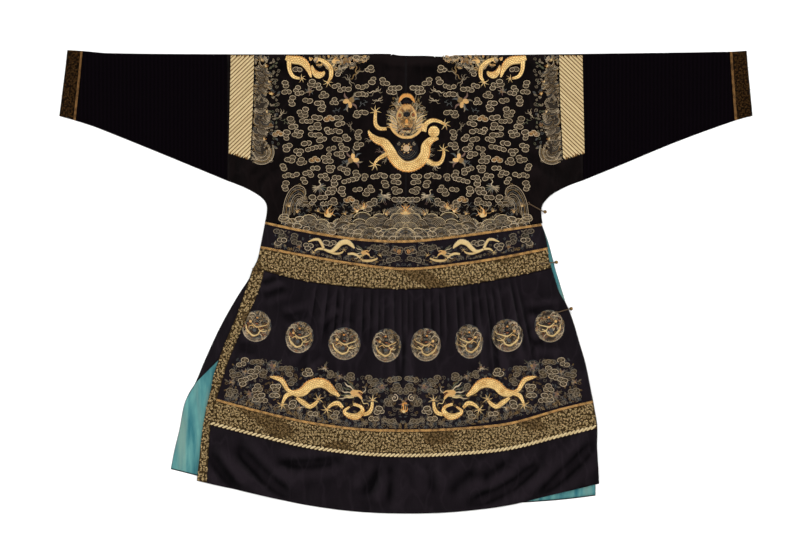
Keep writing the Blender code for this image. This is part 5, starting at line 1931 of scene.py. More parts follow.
@dataclass
class BodiceWork:
    """Clouds, emblems and dragons on the back of the bodice, mirrored about its seam."""

    mirror: float = 0
    box: Box = (-350, 210, 0, 632)
    outer: Table = ((200, -300), (240, -345), (300, -352), (360, -352), (420, -346), (632, -346))
    yoke: tuple[float, float] = (112.0, 80.0)

    def inside(self, points: Array) -> Array:
        """Points between the side waves, the fold, the plain yoke at the neck and the bank of waves."""
        x, y = points.T
        yoke = np.hypot((x - self.mirror) / self.yoke[0], (through(TOP_EDGE, x) - y) / self.yoke[1]) > 1.0
        low = y > through(WaveBank.crest, x) + 10
        return ((x > through(self.outer, y) + 6) & (x < self.mirror - MIDDLE_GAP)
                & (y < through(TOP_EDGE, x) - 9) & yoke & low)

    def by_shoulder(self, points: Array) -> Array:
        """Points of the worn tangle between the shoulder dragon and the yoke."""
        x, y = points.T
        down = through(TOP_EDGE, x) - y
        return (down > 3) & (down < 56 - 0.42 * np.abs(x - -190) + 5 * np.sin(x / 5)) & (x < -101)

    def build(self) -> list[Piece]:
        """Work the seam and the four layers.

        Returns:
            The pieces of needlework.
        """
        clear = [*SHOULDER_DRAGON.reach(), *FRONT_DRAGON.reach(), *FrontFace().reach()]
        clear += [(2 * self.mirror - x, y, radius) for x, y, radius in clear]
        clear += [(row.x, row.y, row.size * 0.9) for row in EMBLEMS]
        clear += [(x, y, size * 0.75) for x, y, size, *_ in CRANES]
        clear += [(x + 6, y + 2, 12.0) for x, y in GOLD_CLOUDS]
        clouds = Needlework("embroidery_clouds", mirror=self.mirror, seed=11)
        clouds.cloud_field(self.box, self.inside, clear, fill=Thread.OLIVE, line=1.8)
        emblems = Needlework("embroidery_emblems", mirror=self.mirror, seed=12)
        for row in EMBLEMS:
            draw = getattr(emblems, row.kind.value)
            draw((row.x, row.y), row.size, turn=row.turn, thread=row.thread)
        for x, y, size, flip, turn in CRANES:
            emblems.crane((x, y), size, flip, turn)
        for x, y in GOLD_CLOUDS:
            emblems.lobes(((x, y, 9), (x + 8, y + 5, 8), (x + 15, y + 1, 7)), Thread.TAN, Thread.UMBER,
                          Thread.ORANGE)
        emblems.thicket(emblems.scattered((-263, 581, -95, 640), 6.6, self.by_shoulder), 6.0,
                        (Thread.DUSK, Thread.TAN, Thread.BRONZE, Thread.DUSK, Thread.GOLD), 1.5,
                        self.by_shoulder)
        shoulders = Needlework("embroidery_shoulder_dragons", mirror=self.mirror, seed=13)
        SHOULDER_DRAGON.sew(shoulders)
        seam = Needlework("centre_back_seam", seed=15)
        y = np.arange(float(waist_seam(0)(0.0)) + 1, float(through(TOP_EDGE, 0.0)) - 2, 6.0)
        seam.ribbon(np.stack((np.zeros_like(y), y), 1), 3.4, 0.5, Thread.DARK)
        great = Needlework("embroidery_great_dragon", seed=14)
        FRONT_DRAGON.sew(great)
        for x, y, size, turn, thread in ((67, 384, 13, 20, Thread.TAN), (69, 370, 14, -20, Thread.DUSK),
                                         (66, 356, 15, -35, Thread.TAN), (76, 325, 22, -50, Thread.TAN),
                                         (-70, 364, 18, 160, Thread.ROSE), (-56, 342, 15, 230, Thread.DUSK),
                                         (-59, 372, 14, 130, Thread.TAN), (-98, 396, 17, 205, Thread.DUSK)):
            great.tuft((x, y), size, turn, thread, 6, 80)
        FrontFace().sew(great)
        return [work.finish() for work in (seam, clouds, emblems, shoulders, great)]


@dataclass
class WaterBands:
    """Slanted stripes of standing water at the ends of the bodice, each edged by a strip of tangled waves."""

    mirror: float = 2
    outer: Table = ((358, -496), (637, -490))
    inner: Table = ((337, -435), (480, -428), (637, -424))
    bottom: Table = ((-496, 358), (-434, 338))
    slope: float = 0.95
    pitch: float = 11.6
    stripes: tuple[tuple[float, float, Thread, float], ...] = (   # from, to, thread and rise in a pitch
        (0.0, 11.7, Thread.UMBER, 0.12), (0.2, 4.2, Thread.CREAM, 0.7), (3.8, 7.7, Thread.CREAM, 0.7))
    edge: float = 2.5           # needlework stops short of the shoulder fold

    def water(self, work: Needlework) -> None:
        """Work the stripes, cut off at the shoulder fold and at the sloped lower end."""
        share = np.linspace(0, 1, 10)
        for n in range(-8, 34):
            for start, end, thread, rise in self.stripes:
                y0 = self.outer[1][0] - n * self.pitch
                x = mix(through(self.outer, y0), through(self.inner, y0 + 30), share)
                line = y0 + self.slope * (x - x[0])
                top = through(TOP_EDGE, x) - self.edge
                floor = through(self.bottom, x)
                low, high = (np.clip(line - self.pitch + at, floor, top) for at in (start, end))
                keep = np.flatnonzero(high - low > 0.4)
                if len(keep) > 1:
                    work.strip(np.stack((x, low), 1)[keep], np.stack((x, high), 1)[keep], rise, thread,
                               edge=0.12)

    def inside(self, points: Array) -> Array:
        """Points of the strip of waves: beside the stripes, with a ragged inner edge."""
        x, y = points.T
        ragged = -381 + 7 * np.sin(y / 17) + 4 * np.sin(y / 6.5)
        return ((x > through(self.inner, y) + 1) & (x < ragged) & (y < through(TOP_EDGE, x) - self.edge)
                & (y > 332))

    def waves(self, work: Needlework) -> None:
        """Work whorls that lean every way, with a great curl at their lower end."""
        box = (-437, 329, -367, 640)
        spots = work.scattered(box, 12.5, self.inside)
        work.hills(np.column_stack((spots, work.chance.uniform(0.7, 1.25, len(spots)))), 15.0, 0, 5,
                   self.inside, 150, 180, (Thread.TAN, Thread.BRONZE, Thread.BRONZE))
        for k in range(9):
            reach = 35 - 3.4 * k
            work.ribbon(oval((-404, 361), reach, reach * 0.95, 0, 18, -125, 24), 1.5, 0.7,
                        (Thread.TAN, Thread.DUSK, Thread.BRONZE)[k % 3])
        fringe = work.scattered((-383, 368, -353, 631), 11.0, lambda points: points[:, 0] > -381)
        work.thicket(fringe, 5.5, (Thread.SLATE, Thread.DUSK, Thread.MOSS, Thread.DUSK), 1.3)
        for x, y, thread in ((-392, 603, Thread.ORANGE), (-383, 559, Thread.GOLD), (-375, 525, Thread.ORANGE),
                             (-389, 475, Thread.ROSE), (-397, 399, Thread.ORANGE), (-403, 620, Thread.GOLD)):
            work.flame((x, y), 9, 20, thread, 4)

    def build(self) -> list[Piece]:
        """Work the stripes and the waves.

        Returns:
            The two pieces.
        """
        water = Needlework("embroidery_standing_water", mirror=self.mirror, seed=21)
        self.water(water)
        waves = Needlework("embroidery_side_waves", mirror=self.mirror, seed=22, lift=SILK / 2 + 0.25)
        self.waves(waves)
        return [water.finish(), waves.finish()]


@dataclass
class WaveBank:
    """Bank of waves above the waist, with high curling waves at its ends and flames among the crests."""

    mirror: float = -1
    crest: Table = ((-353, 167), (-341, 214), (-325, 256), (-305, 270), (-288, 265), (-274, 225), (-257, 192),
                    (-241, 178), (-201, 172), (-171, 183), (-129, 190), (-95, 192), (-67, 197),
                    (-33, 206), (0, 211))
    row_step: float = 16.0
    hill_step: float = 38.0
    jewels: Table = ((-216, 186, 34, 80), (-137, 197, 18, 120), (-120, 206, 22, 75), (-56, 189, 15, 60),
                     (-2, 192, 30, 90), (-327, 211, 13, 90), (-305, 195, 11, 40), (-246, 197, 10, 100),
                     (-171, 189, 10, 80))

    def inside(self, points: Array) -> Array:
        """Points below the crest, right of the bank's slanted end and above the braid at the waist."""
        x, y = points.T
        below = y < through(self.crest, x) + 4
        return (below & (y > level("waist", x) + BRAID_WIDTH / 2 + 1.5)
                & (x > mix(-348, -322, (y - 160) / 108)))

    def build(self) -> list[Piece]:
        """Work the bank from its far crests to the foam at its foot.

        Returns:
            The piece.
        """
        work = Needlework("embroidery_wave_bank", mirror=self.mirror, seed=31)
        box = (-350, 118, self.mirror, 290)
        work.thicket(work.scattered(box, 12.0, self.inside), 7.0, (Thread.DUSK, Thread.SLATE, Thread.BRONZE),
                     1.2, self.inside)
        hills = []
        for row in range(9):
            for n in range(12):
                x = self.crest[0][0] + 8 + self.hill_step * (n + 0.5 * (row % 2)) + work.chance.uniform(-9, 9)
                foot = float(level("waist", x)) + BRAID_WIDTH / 2
                y = float(through(self.crest, x)) - 24 - row * self.row_step + work.chance.uniform(-5, 5)
                if x < self.mirror and y > foot - 6 and not -341 < x < -283:
                    hills.append((x, y, work.chance.uniform(0.7, 1.2)))
        work.hills(hills, 27, 90, 7, self.inside, 82, crest=(Thread.CREAM, Thread.TAN, Thread.CREAM))
        rows = np.array(((-348, 161), (-340, 220), (-326, 253), (-305, 269), (-286, 263),
                         (-280, 246), (-288, 234)))
        centre = np.array((-299, 211))
        for k in range(9):
            path = spline(centre + (rows - centre) * (1 - 0.105 * k), 3)
            work.ribbon(path, 1.6, 0.8, (Thread.TAN, Thread.DUSK, Thread.BRONZE, Thread.SLATE)[k % 4])
        for lift, step, half in ((27, 44.0, 12.0), (17, 27.0, 13.5), (6, 24.0, 13.0)):
            for x in np.arange(self.crest[0][0] + lift * 0.4, self.mirror, step):
                spot = (x + work.chance.uniform(-4, 4),
                        float(level("waist", x)) + BRAID_WIDTH / 2 + lift + work.chance.uniform(-2, 2))
                size = half * work.chance.uniform(0.7, 1.15)
                if self.inside(np.array(spot)[None]).all():
                    work.ring(spot, size, size * 0.42 + 1.6, work.chance.uniform(-12, 12),
                              work.chance.uniform(1.5, 2.3),
                              work.chance.choice((Thread.TAN, Thread.TAN, Thread.DUSK)),
                              work.chance.choice((Thread.BROWN, Thread.OLIVE)), 0.8, 0.6)
        for x, y, size, turn in self.jewels:
            for n in range(6):
                rows = ((size * 0.3, 0, 2.0), (size * 0.7, size * 0.15, 2.2), (size, -size * 0.05, 0.8))
                work.stroke(placed(rows, (x, y), turn - 75 + 30 * n + work.chance.uniform(-12, 12)), 0.8,
                            (Thread.SLATE, Thread.DUSK, Thread.BRONZE)[n % 3])
            work.flame((x, y), size * 0.85, turn, Thread.ORANGE, 7)
        for x, y, turn in ((-260, 217, 40), (-196, 209, 10), (-176, 214, 70), (-81, 217, 100), (-22, 223, 30),
                           (-28, 209, 130), (-14, 220, 60), (-235, 209, 80), (-151, 211, 200)):
            work.tuft((x, y), 14, turn, Thread.SLATE, 5, 150)
        return [work.finish()]


# ------------------------------------------------------------------ needlework of waist band and border
DULL = (Thread.DUSK, Thread.TAN, Thread.TAN, Thread.DUSK)


@dataclass
class BandWork:
    """Dragons among dull clouds on the waist band, above a row of small waves."""

    mirror: float = -6
    box: Box = (-376, 35, 0, 200)
    margin: float = 7.5

    def inside(self, points: Array) -> Array:
        """Points between the two braids of the band."""
        x, y = points.T
        high = waist_seam(0)(x) - BRAID_WIDTH
        return ((x > -372) & (x < self.mirror - MIDDLE_GAP) & (y > level("lower_braid", x) + self.margin + 9)
                & (y < high - self.margin))

    def by_braid(self, points: Array) -> Array:
        """Points of the uneven row of small waves above the lower braid."""
        x, y = points.T
        rise = y - level("lower_braid", x)
        return (rise > self.margin - 2) & (rise < 19 + 4 * np.sin(x / 15)) & (x > -376) & (x < self.mirror)

    def build(self) -> list[Piece]:
        """Work the ground of clouds and waves, then the dragons.

        Returns:
            The two pieces.
        """
        ground = Needlework("embroidery_band_clouds", band_height, mirror=self.mirror, seed=41)
        ground.cloud_field(self.box, self.inside, WAIST_DRAGON.reach(), DULL, 9.0, 4, 1.5,
                           Thread.BROWN, 1.8)
        ground.thicket(ground.scattered(self.box, 13.0, self.inside), 4.5, (Thread.SLATE, Thread.DUSK), 1.0,
                       rise=0.3)
        ground.thicket(ground.scattered(self.box, 8.5, self.by_braid), 6.5,
                       (Thread.SLATE, Thread.DUSK, Thread.BRONZE, Thread.DUSK), 1.2, self.by_braid)
        for n, at in enumerate(((-350, 127), (-299, 97), (-213, 108), (-81, 97), (-31, 88), (-56, 108))):
            draw = (ground.scroll_leaf, ground.posy, ground.tuft)[n % 3]
            draw(at, 9, turn=40.0 * n, thread=(Thread.MOSS, Thread.UMBER, Thread.TAN)[n % 3])
        dragons = Needlework("embroidery_band_dragons", band_height, mirror=self.mirror, seed=42)
        WAIST_DRAGON.sew(dragons)
        pearl = (-19, 83)
        dragons.ribbon(curl(pearl, 6, 1, 30, 1.6), 1.8, 0.9, Thread.ORANGE)
        return [ground.finish(), dragons.finish()]


@dataclass
class BorderWork:
    """Dragons, clouds and waves in the border above the lower brocade."""

    mirror: float = -8
    box: Box = (-500, -415, -8, -215)
    top: Table = ((-520, -205), (-400, -222), (-300, -240), (-150, -262), (0, -271))
    flowers: Table = ((-372, -237, 16), (-451, -253, 11), (-227, -242, 11), (-67, -295, 14), (-185, -267, 10),
                      (-297, -354, 11), (-437, -315, 12), (-487, -281, 10))

    def inside(self, points: Array) -> Array:
        """Points of the border that are left for clouds."""
        x, y = points.T
        left = x > through(STRIP_INNER, y) + 12
        low = y > level("skirt_braid", x) + BRAID_WIDTH / 2 + 22
        return left & low & (x < self.mirror - MIDDLE_GAP) & (y < through(self.top, x))

    def build(self) -> list[Piece]:
        """Work the ground of clouds, waves and sprays, then the dragons.

        Returns:
            The two pieces.
        """
        ground = Needlework("embroidery_border_clouds", mirror=self.mirror, seed=51)
        clear = [*BORDER_DRAGON.reach(), *((x, y, size) for x, y, size in self.flowers)]
        clear.append((-18, -354, 24))
        ground.cloud_field(self.box, self.inside, clear, DULL, 9.6, 5, 2.2, Thread.OLIVE, 1.9, Thread.TAN)
        ground.thicket(ground.scattered(self.box, 13.0, self.inside), 6.0,
                       (Thread.BRONZE, Thread.DUSK, Thread.SLATE), 1.1, rise=0.3)
        braid = (-500, -420, self.mirror, -300)
        ground.thicket(ground.scattered(braid, 8.0, self.near_braid), 7.0,
                       (Thread.DUSK, Thread.SLATE, Thread.BRONZE, Thread.DUSK), 1.3, self.above_braid)
        for n, (x0, y0, size) in enumerate(self.flowers):
            ground.posy((x0, y0), size, 25.0 * n, (Thread.ROSE, Thread.DUSK, Thread.TAN)[n % 3])
            for lean in (30, 150, 270):
                spot = placed(((size * 1.1, 0),), (x0, y0), lean + 20 * n)[0]
                ground.tuft(spot, size * 0.8, lean + 20 * n, (Thread.MOSS, Thread.SLATE, Thread.TAN)[n % 3],
                            4)
        for k in range(8):
            reach = (17, 15)[k % 2] - 3.6 * (k // 2)
            ground.ribbon(oval(((-372, -237), (-73, -295))[k % 2], reach, reach, 0, 16), 1.5, 0.6,
                          (Thread.SLATE, Thread.DUSK)[k // 2 % 2], True)
        dragons = Needlework("embroidery_border_dragons", mirror=self.mirror, seed=52)
        BORDER_DRAGON.sew(dragons)
        middle = Needlework("embroidery_border_jewel", seed=53)
        middle.flame((self.mirror + 2, -363), 20, 90, Thread.ORANGE, 9)
        middle.posy((self.mirror + 2, -340), 15, 90, Thread.ORANGE)
        for flip in (1, -1):
            middle.ribbon(curl((self.mirror + flip * 24, -326), 11, 2, 90, 1.3 * flip), 2.4, 0.7, Thread.TAN)
            middle.scroll_leaf((self.mirror + flip * 20, -276), 13, 90 - flip * 30, Thread.SLATE)
        return [ground.finish(), dragons.finish(), middle.finish()]

    def near_braid(self, points: Array) -> Array:
        """Points of the strip of waves above the braid."""
        x, y = points.T
        rise = y - level("skirt_braid", x)
        return self.above_braid(points) & (rise < 30 + 7 * np.sin(x / 19)) & (x < self.mirror)

    def above_braid(self, points: Array) -> Array:
        """Points above the lower braid and beside the strip."""
        x, y = points.T
        return (y > level("skirt_braid", x) + BRAID_WIDTH / 2 + 1) & (x > through(STRIP_INNER, y) + 3)


class RoundelRow(NamedTuple):
    """Centre, width, height and turn of a roundel."""

    x: float
    y: float
    width: float
    height: float
    turn: float


ROUNDELS = [RoundelRow(*row) for row in (
    (-418, -125, 84, 91, -14), (-298, -156, 80, 92, -10), (-172, -174, 92, 94, -6),
    (-54, -179, 83, 97, -2), (56, -177, 86, 96, 2), (177, -168, 79, 99, 6),
    (284, -151, 90, 95, 9), (402, -125, 86, 94, 13))]


MEDALLION_THREADS = (Thread.DUSK, Thread.RUST, Thread.TAN, Thread.SLATE, Thread.TAN, Thread.BRONZE)
RIM_THREADS = (Thread.DUSK, Thread.SLATE, Thread.TAN, Thread.DUSK, Thread.BRONZE)
MEDALLION = (       # rows of x, y and width in shares of half the size
    (((-0.76, -0.05, 0.05), (-0.86, 0.32, 0.07), (-0.56, 0.5, 0.07), (-0.33, 0.3, 0.05)), Thread.TAN),
    (((-0.36, 0.14, 0.05), (0.0, -0.04, 0.15), (0.34, 0.08, 0.11), (0.6, 0.2, 0.08), (0.76, 0.36, 0.04)),
     Thread.PALE),
    (((-0.72, -0.02, 0.06), (-0.56, -0.34, 0.17), (-0.12, -0.6, 0.17), (0.22, -0.48, 0.13), (0.3, -0.26, 0.1),
      (0.58, -0.2, 0.08), (0.82, -0.04, 0.04)), Thread.PALE),
    (((-0.62, -0.28, 0.05), (-0.14, -0.66, 0.07), (0.22, -0.53, 0.06), (0.4, -0.3, 0.03)), Thread.BRONZE),
    (((-0.88, -0.22, 0.04), (-0.74, -0.54, 0.08), (-0.44, -0.6, 0.06)), Thread.TAN),
    (((0.28, -0.4, 0.06), (0.48, -0.48, 0.08), (0.56, -0.64, 0.04)), Thread.TAN),
    (((0.2, 0.62, 0.04), (0.5, 0.62, 0.07), (0.66, 0.42, 0.05)), Thread.BRONZE),
    (((-0.7, 0.6, 0.05), (-0.42, 0.74, 0.08), (-0.2, 0.62, 0.05)), Thread.TAN),
    (((0.12, -0.04, 0.05), (0.3, -0.2, 0.09), (0.54, -0.06, 0.05)), Thread.PALE),
    (((-0.52, -0.12, 0.05), (-0.3, 0.0, 0.08), (-0.12, -0.14, 0.05)), Thread.GOLD),
    (((0.62, 0.02, 0.05), (0.8, 0.2, 0.07), (0.72, 0.44, 0.05)), Thread.BRONZE))
MEDALLION_PADS = (  # x, y, half width and half height in the same shares
    (-0.46, 0.2, 0.1, 0.1, Thread.GOLD), (-0.05, -0.27, 0.14, 0.13, Thread.SLATE),
    (-0.08, 0.52, 0.07, 0.06, Thread.ORANGE),
    (-0.02, 0.32, 0.07, 0.1, Thread.SLATE), (-0.02, 0.16, 0.12, 0.05, Thread.RUST),
    (-0.6, -0.3, 0.06, 0.1, Thread.RUST))


@dataclass
class RoundelWork:
    """Row of round medallions, each with a coiled dragon over waves inside a rim of small clouds."""

    scallops: int = 19

    def medallion(self, work: Needlework, row: RoundelRow, flip: int) -> None:
        """Work one medallion; inside it lengths are shares of half its size."""
        half = (row.width + row.height) / 4
        shape = np.array((row.width, row.height)) / 2 / half

        def put(*rows: Spot) -> Array:
            """Rows of the medallion placed on the skirt."""
            table = placed(rows, (0, 0), 0, half, flip)
            table[:, :2] *= shape
            return placed(table, (row.x, row.y), row.turn)

        def inside(points: Array) -> Array:
            """Points within the rim."""
            return np.hypot((points[:, 0] - row.x) / row.width, (points[:, 1] - row.y) / row.height) < 0.47

        centre, across, up = (row.x, row.y), row.width / 2, row.height / 2
        work.pad(oval(centre, across - 2, up - 2, row.turn, 40), 0.2, Thread.BROWN)
        box = (row.x - across, row.y - up, row.x + across, row.y + up)
        work.thicket(work.scattered(box, 6.4, inside), 5.6, MEDALLION_THREADS, 1.4, inside)
        work.ribbon(oval(centre, across - 1.8, up - 1.8, row.turn, 40), 1.2, 0.5, Thread.SLATE, closed=True)
        for n in range(self.scallops):
            lean = 360 * n / self.scallops + work.chance.uniform(-6, 6)
            spot, size = put(
                (0.82 * math.cos(math.radians(lean)), 0.82 * math.sin(math.radians(lean))))[0], half * 0.14
            heading = math.degrees(math.atan2(spot[1] - row.y, spot[0] - row.x))
            for share in (1.0, 0.5):
                work.ribbon(oval(spot, size * share, size * share, heading, 9, -112, 112), 1.5, 0.7,
                            RIM_THREADS[n % len(RIM_THREADS)])
        for n in range(4):
            share = 0.93 - 0.07 * n
            work.ribbon(oval(centre, across * share, up * share, row.turn, 22, 208 + 8 * n, 332 - 8 * n), 1.9,
                        0.7, (Thread.TAN, Thread.ROSE, Thread.DUSK, Thread.SLATE)[n])
        work.pad(oval(put((-0.02, 0.3))[0], half * 0.27, half * 0.26, row.turn, 12), 0.5, Thread.DARK)
        for rows, thread in MEDALLION:
            path = spline(put(*rows), 3)
            work.ribbon(path, path[:, 2] * 0.8 + 3, 0.55, Thread.DARK)
            work.ribbon(path, path[:, 2] * 0.8, 1.1, thread, ridges=5)
        for x, y, wide, high, thread in MEDALLION_PADS:
            work.pad(oval(put((x, y))[0], half * wide, half * high, row.turn, 11), 1.0, thread)
        for lean in (1, -1):
            work.ribbon(oval(put((0.15 * lean - 0.02, 0.32))[0], half * 0.06, half * 0.07, 0, 9), 1.3, 1.0,
                        Thread.TAN, closed=True)
            work.tuft(put((0.3 * lean, 0.4))[0], half * 0.4, 90 - 60 * lean, Thread.BRONZE, 5, 90)
        for x, y, heading in ((0.56, -0.66, -50), (0.86, -0.06, 10), (-0.46, -0.58, -120), (0.7, 0.34, 50)):
            work.claw(put((x, y))[0], heading + row.turn if flip > 0 else 180 - heading + row.turn, 6)

    def build(self) -> list[Piece]:
        """Work all eight.

        Returns:
            The piece.
        """
        work = Needlework("embroidery_roundels", seed=61)
        for number, row in enumerate(ROUNDELS):
            self.medallion(work, row, -1 if number > 3 else 1)
        return [work.finish()]


# ------------------------------------------------------------------ woven trims
@dataclass
class BrocadePattern:
    """Gold scrolls and rosettes that the brocade's supplementary weft raises above its ground."""

    name: str
    height: Height
    lift: float
    seed: int
    thread: Thread = Thread.WEFT
    pitch: float = 6.2
    line: float = 1.35
    rosettes: int = 9           # one motif in so many is a rosette

    def work(self, low: Line, high: Line, left: Line, right: Line, margin: float = 1.5) -> Piece:
        """Fill the space between two lines across the robe, y of x, and two down it, x of y."""
        def inside(points: Array) -> Array:
            """Points clear of the edges."""
            x, y = points.T
            across = (x > left(y) + margin) & (x < right(y) - margin)
            return across & (y > low(x) + margin) & (y < high(x) - margin)

        sewn = Needlework(self.name, self.height, lift=self.lift, seed=self.seed, sink=0.05)
        spots = sewn.scattered((-980, -660, 980, 660), self.pitch, inside)
        worn = (np.sin(spots[:, 0] / 37 + 1.3 * np.sin(spots[:, 1] / 29))
                + np.sin(spots[:, 1] / 23 + spots[:, 0] / 61))
        for n, spot in enumerate(spots):
            thread = Thread.BRONZE if self.thread is Thread.WEFT and worn[n] > 1.15 else self.thread
            if n % self.rosettes:
                turns = sewn.chance.choice((-0.9, 0.9))
                path = curl(spot, self.pitch * 0.52, self.pitch * 0.1, sewn.chance.uniform(0, 360), turns)
                sewn.ribbon(path[::2], self.line, 0.2, thread, ridges=2)
            else:
                sewn.pad(oval(spot, 2.6, 1.9, sewn.chance.uniform(0, 180), 7), 0.3, thread)
        return sewn.finish()


@dataclass
class Brocades:
    """Raised patterns of every piece of brocade."""

    def build(self) -> dict[str, Piece]:
        """Weave them.

        Returns:
            The pattern of each brocade, by the name of its solid.
        """
        lift = ON_CLOTH + TRIM / 2
        half, rope = BRAID_WIDTH / 2, ROPE_WIDTH / 2
        made = {
            "waist_brocade": BrocadePattern("brocade_waist_pattern", band_height, lift, 71).work(
                level_line("band_hem"), level_line("lower_braid", -half),
                lambda y: through(BAND_LEFT, y), lambda y: through(BAND_RIGHT, y)),
            "skirt_brocade": BrocadePattern("brocade_skirt_pattern", back_height, lift, 72).work(
                level_line("rope_braid", rope), level_line("skirt_braid", -half),
                lambda y: through(STRIP_INNER, y), lambda y: through(BACK_RIGHT, y)),
            "side_strip": BrocadePattern("brocade_strip_pattern", back_height, lift, 73).work(
                level_line("hem"), level_line("band_hem"),
                lambda y: through(STRIP_OUTER, y), lambda y: through(STRIP_INNER, y))}
        for number, cuff in enumerate(CUFFS):
            sign = cuff.side.value
            seam = ((UNDER_CUFF, mix(cuff.inner_low, cuff.outer_low, Sleeves.braid_share)),
                    (TOP_CUFF, mix(cuff.inner_top, cuff.outer_top, Sleeves.braid_share)))
            edge = ((UNDER_CUFF, cuff.outer_low), (TOP_CUFF, cuff.outer_top))
            sides = (lambda y, s=seam: through(s, y), lambda y, e=edge: through(e, y))
            made["cuff_" + cuff.side.word] = BrocadePattern(
                "brocade_cuff_pattern_" + cuff.side.word, back_height, SILK / 2, 74 + number,
                Thread.WORN_WEFT).work(
                lambda x: through(UNDER_EDGE, x), lambda x: through(TOP_EDGE, x), *sides[::sign])
        return made


UNDER_CUFF, TOP_CUFF = 455.0, 645.0


@dataclass
class RopeBraid:
    """Thick braid above the hem: slanted strands of pale gilt cord over a flat tape."""

    tape: Finish
    pitch: float = 11.7
    strand: float = 6.2
    slant: float = 15.0
    rise: float = 1.6
    steps: int = 9
    ridges: int = 7

    def build(self, skirt: Skirt) -> list[Piece]:
        """Lay the tape and then the strands, from the side strip to the right edge.

        Args:
            skirt: the skirt that carries it.

        Returns:
            The tape and the strands.
        """
        half = ROPE_WIDTH / 2
        lift = SILK / 2 + SEAM_GAP
        points = skirt.grid(level_line("rope_braid", -half), level_line("rope_braid", half),
                            4, lift + TRIM / 2, skirt.strip_end())
        tape = trim("rope_braid", points, self.tape)
        start, end = points[0, 0, 0], points[-1, 0, 0]
        sewn = Needlework("rope_braid_strands", back_height, lift=lift + TRIM, seed=81, sink=0.3)
        for x in np.arange(start + 5, end - self.slant / 2, self.pitch):
            share = np.linspace(-1, 1, self.steps)
            path_x = np.clip(x + self.slant / 2 * share, start, end)
            path = np.stack((path_x, level("rope_braid", path_x) + (half - 1.6) * np.sin(share * np.pi / 2)),
                            1)
            sewn.ribbon(path, self.strand * np.sqrt(1 - 0.75 * share ** 2), self.rise, Thread.CREAM,
                        ridges=self.ridges)
        return [tape, sewn.finish()]


# ------------------------------------------------------------------ closure
class ToggleRow(NamedTuple):
    """A cord loop and its ball: tail and edge of the cord, end of the cloth, ball, and rise over a band."""

    tail_x: float
    tail_y: float
    edge_x: float
    edge_y: float
    cloth_x: float
    ball_x: float
    ball_y: float
    rise: float


BALL_RADIUS, CORD_RADIUS = 5.0, 1.5
TOGGLES = [ToggleRow(*row) for row in (
    (346, 217, 382, 197, 378, 389.5, 195, 0),
    (384, 50, 405, 52.5, 400, 421, 54, WAIST_RISE + TRIM + SEAM_GAP),
    (424, -86, 456, -77, 452, 462.5, -76, 1.3))]


def directions(line: Array) -> tuple[Array, Array, Array]:
    """Unit vectors at each point of a line: along it, level across it, and square to both."""
    run = np.gradient(line, axis=0)
    run /= np.linalg.norm(run, axis=1, keepdims=True)
    side = np.cross(run, (0, 0, 1))
    side /= np.linalg.norm(side, axis=1, keepdims=True)
    return run, side, np.cross(side, run)


def tube_mesh(mesh: bpy.types.Mesh, lines: Sequence[Array], radius: float, sides: int = 8) -> None:
    """Fill a mesh with round tubes along lines of points, closed at their ends.

    Args:
        mesh: the mesh.
        lines: points of each tube's middle, in mm.
        radius: radius of the tubes.
        sides: corners round a tube.
    """
    points, quads, triangles, count = [], [], [], 0
    for line in lines:
        _, side, over = directions(line)
        angle = np.linspace(0, 2 * np.pi, sides, endpoint=False)[None, :, None]
        rings = line[:, None] + radius * (side[:, None] * np.cos(angle) + over[:, None] * np.sin(angle))
        points += [rings.reshape(-1, 3), line[[0, -1]]]
        first = np.arange(len(line) * sides).reshape(len(line), sides)
        ahead = np.roll(first, -1, 1)
        quads.append(np.stack((first[:-1], ahead[:-1], ahead[1:], first[1:]), -1).reshape(-1, 4) + count)
        ends = len(line) * sides + np.array((0, 1))
        triangles.append(np.stack((first[0], np.full(sides, ends[0]), ahead[0]), 1) + count)
        triangles.append(np.stack((ahead[-1], np.full(sides, ends[1]), first[-1]), 1) + count)
        count += len(line) * sides + 2
    fill_mesh(mesh, np.concatenate(points), np.concatenate(quads), np.concatenate(triangles))


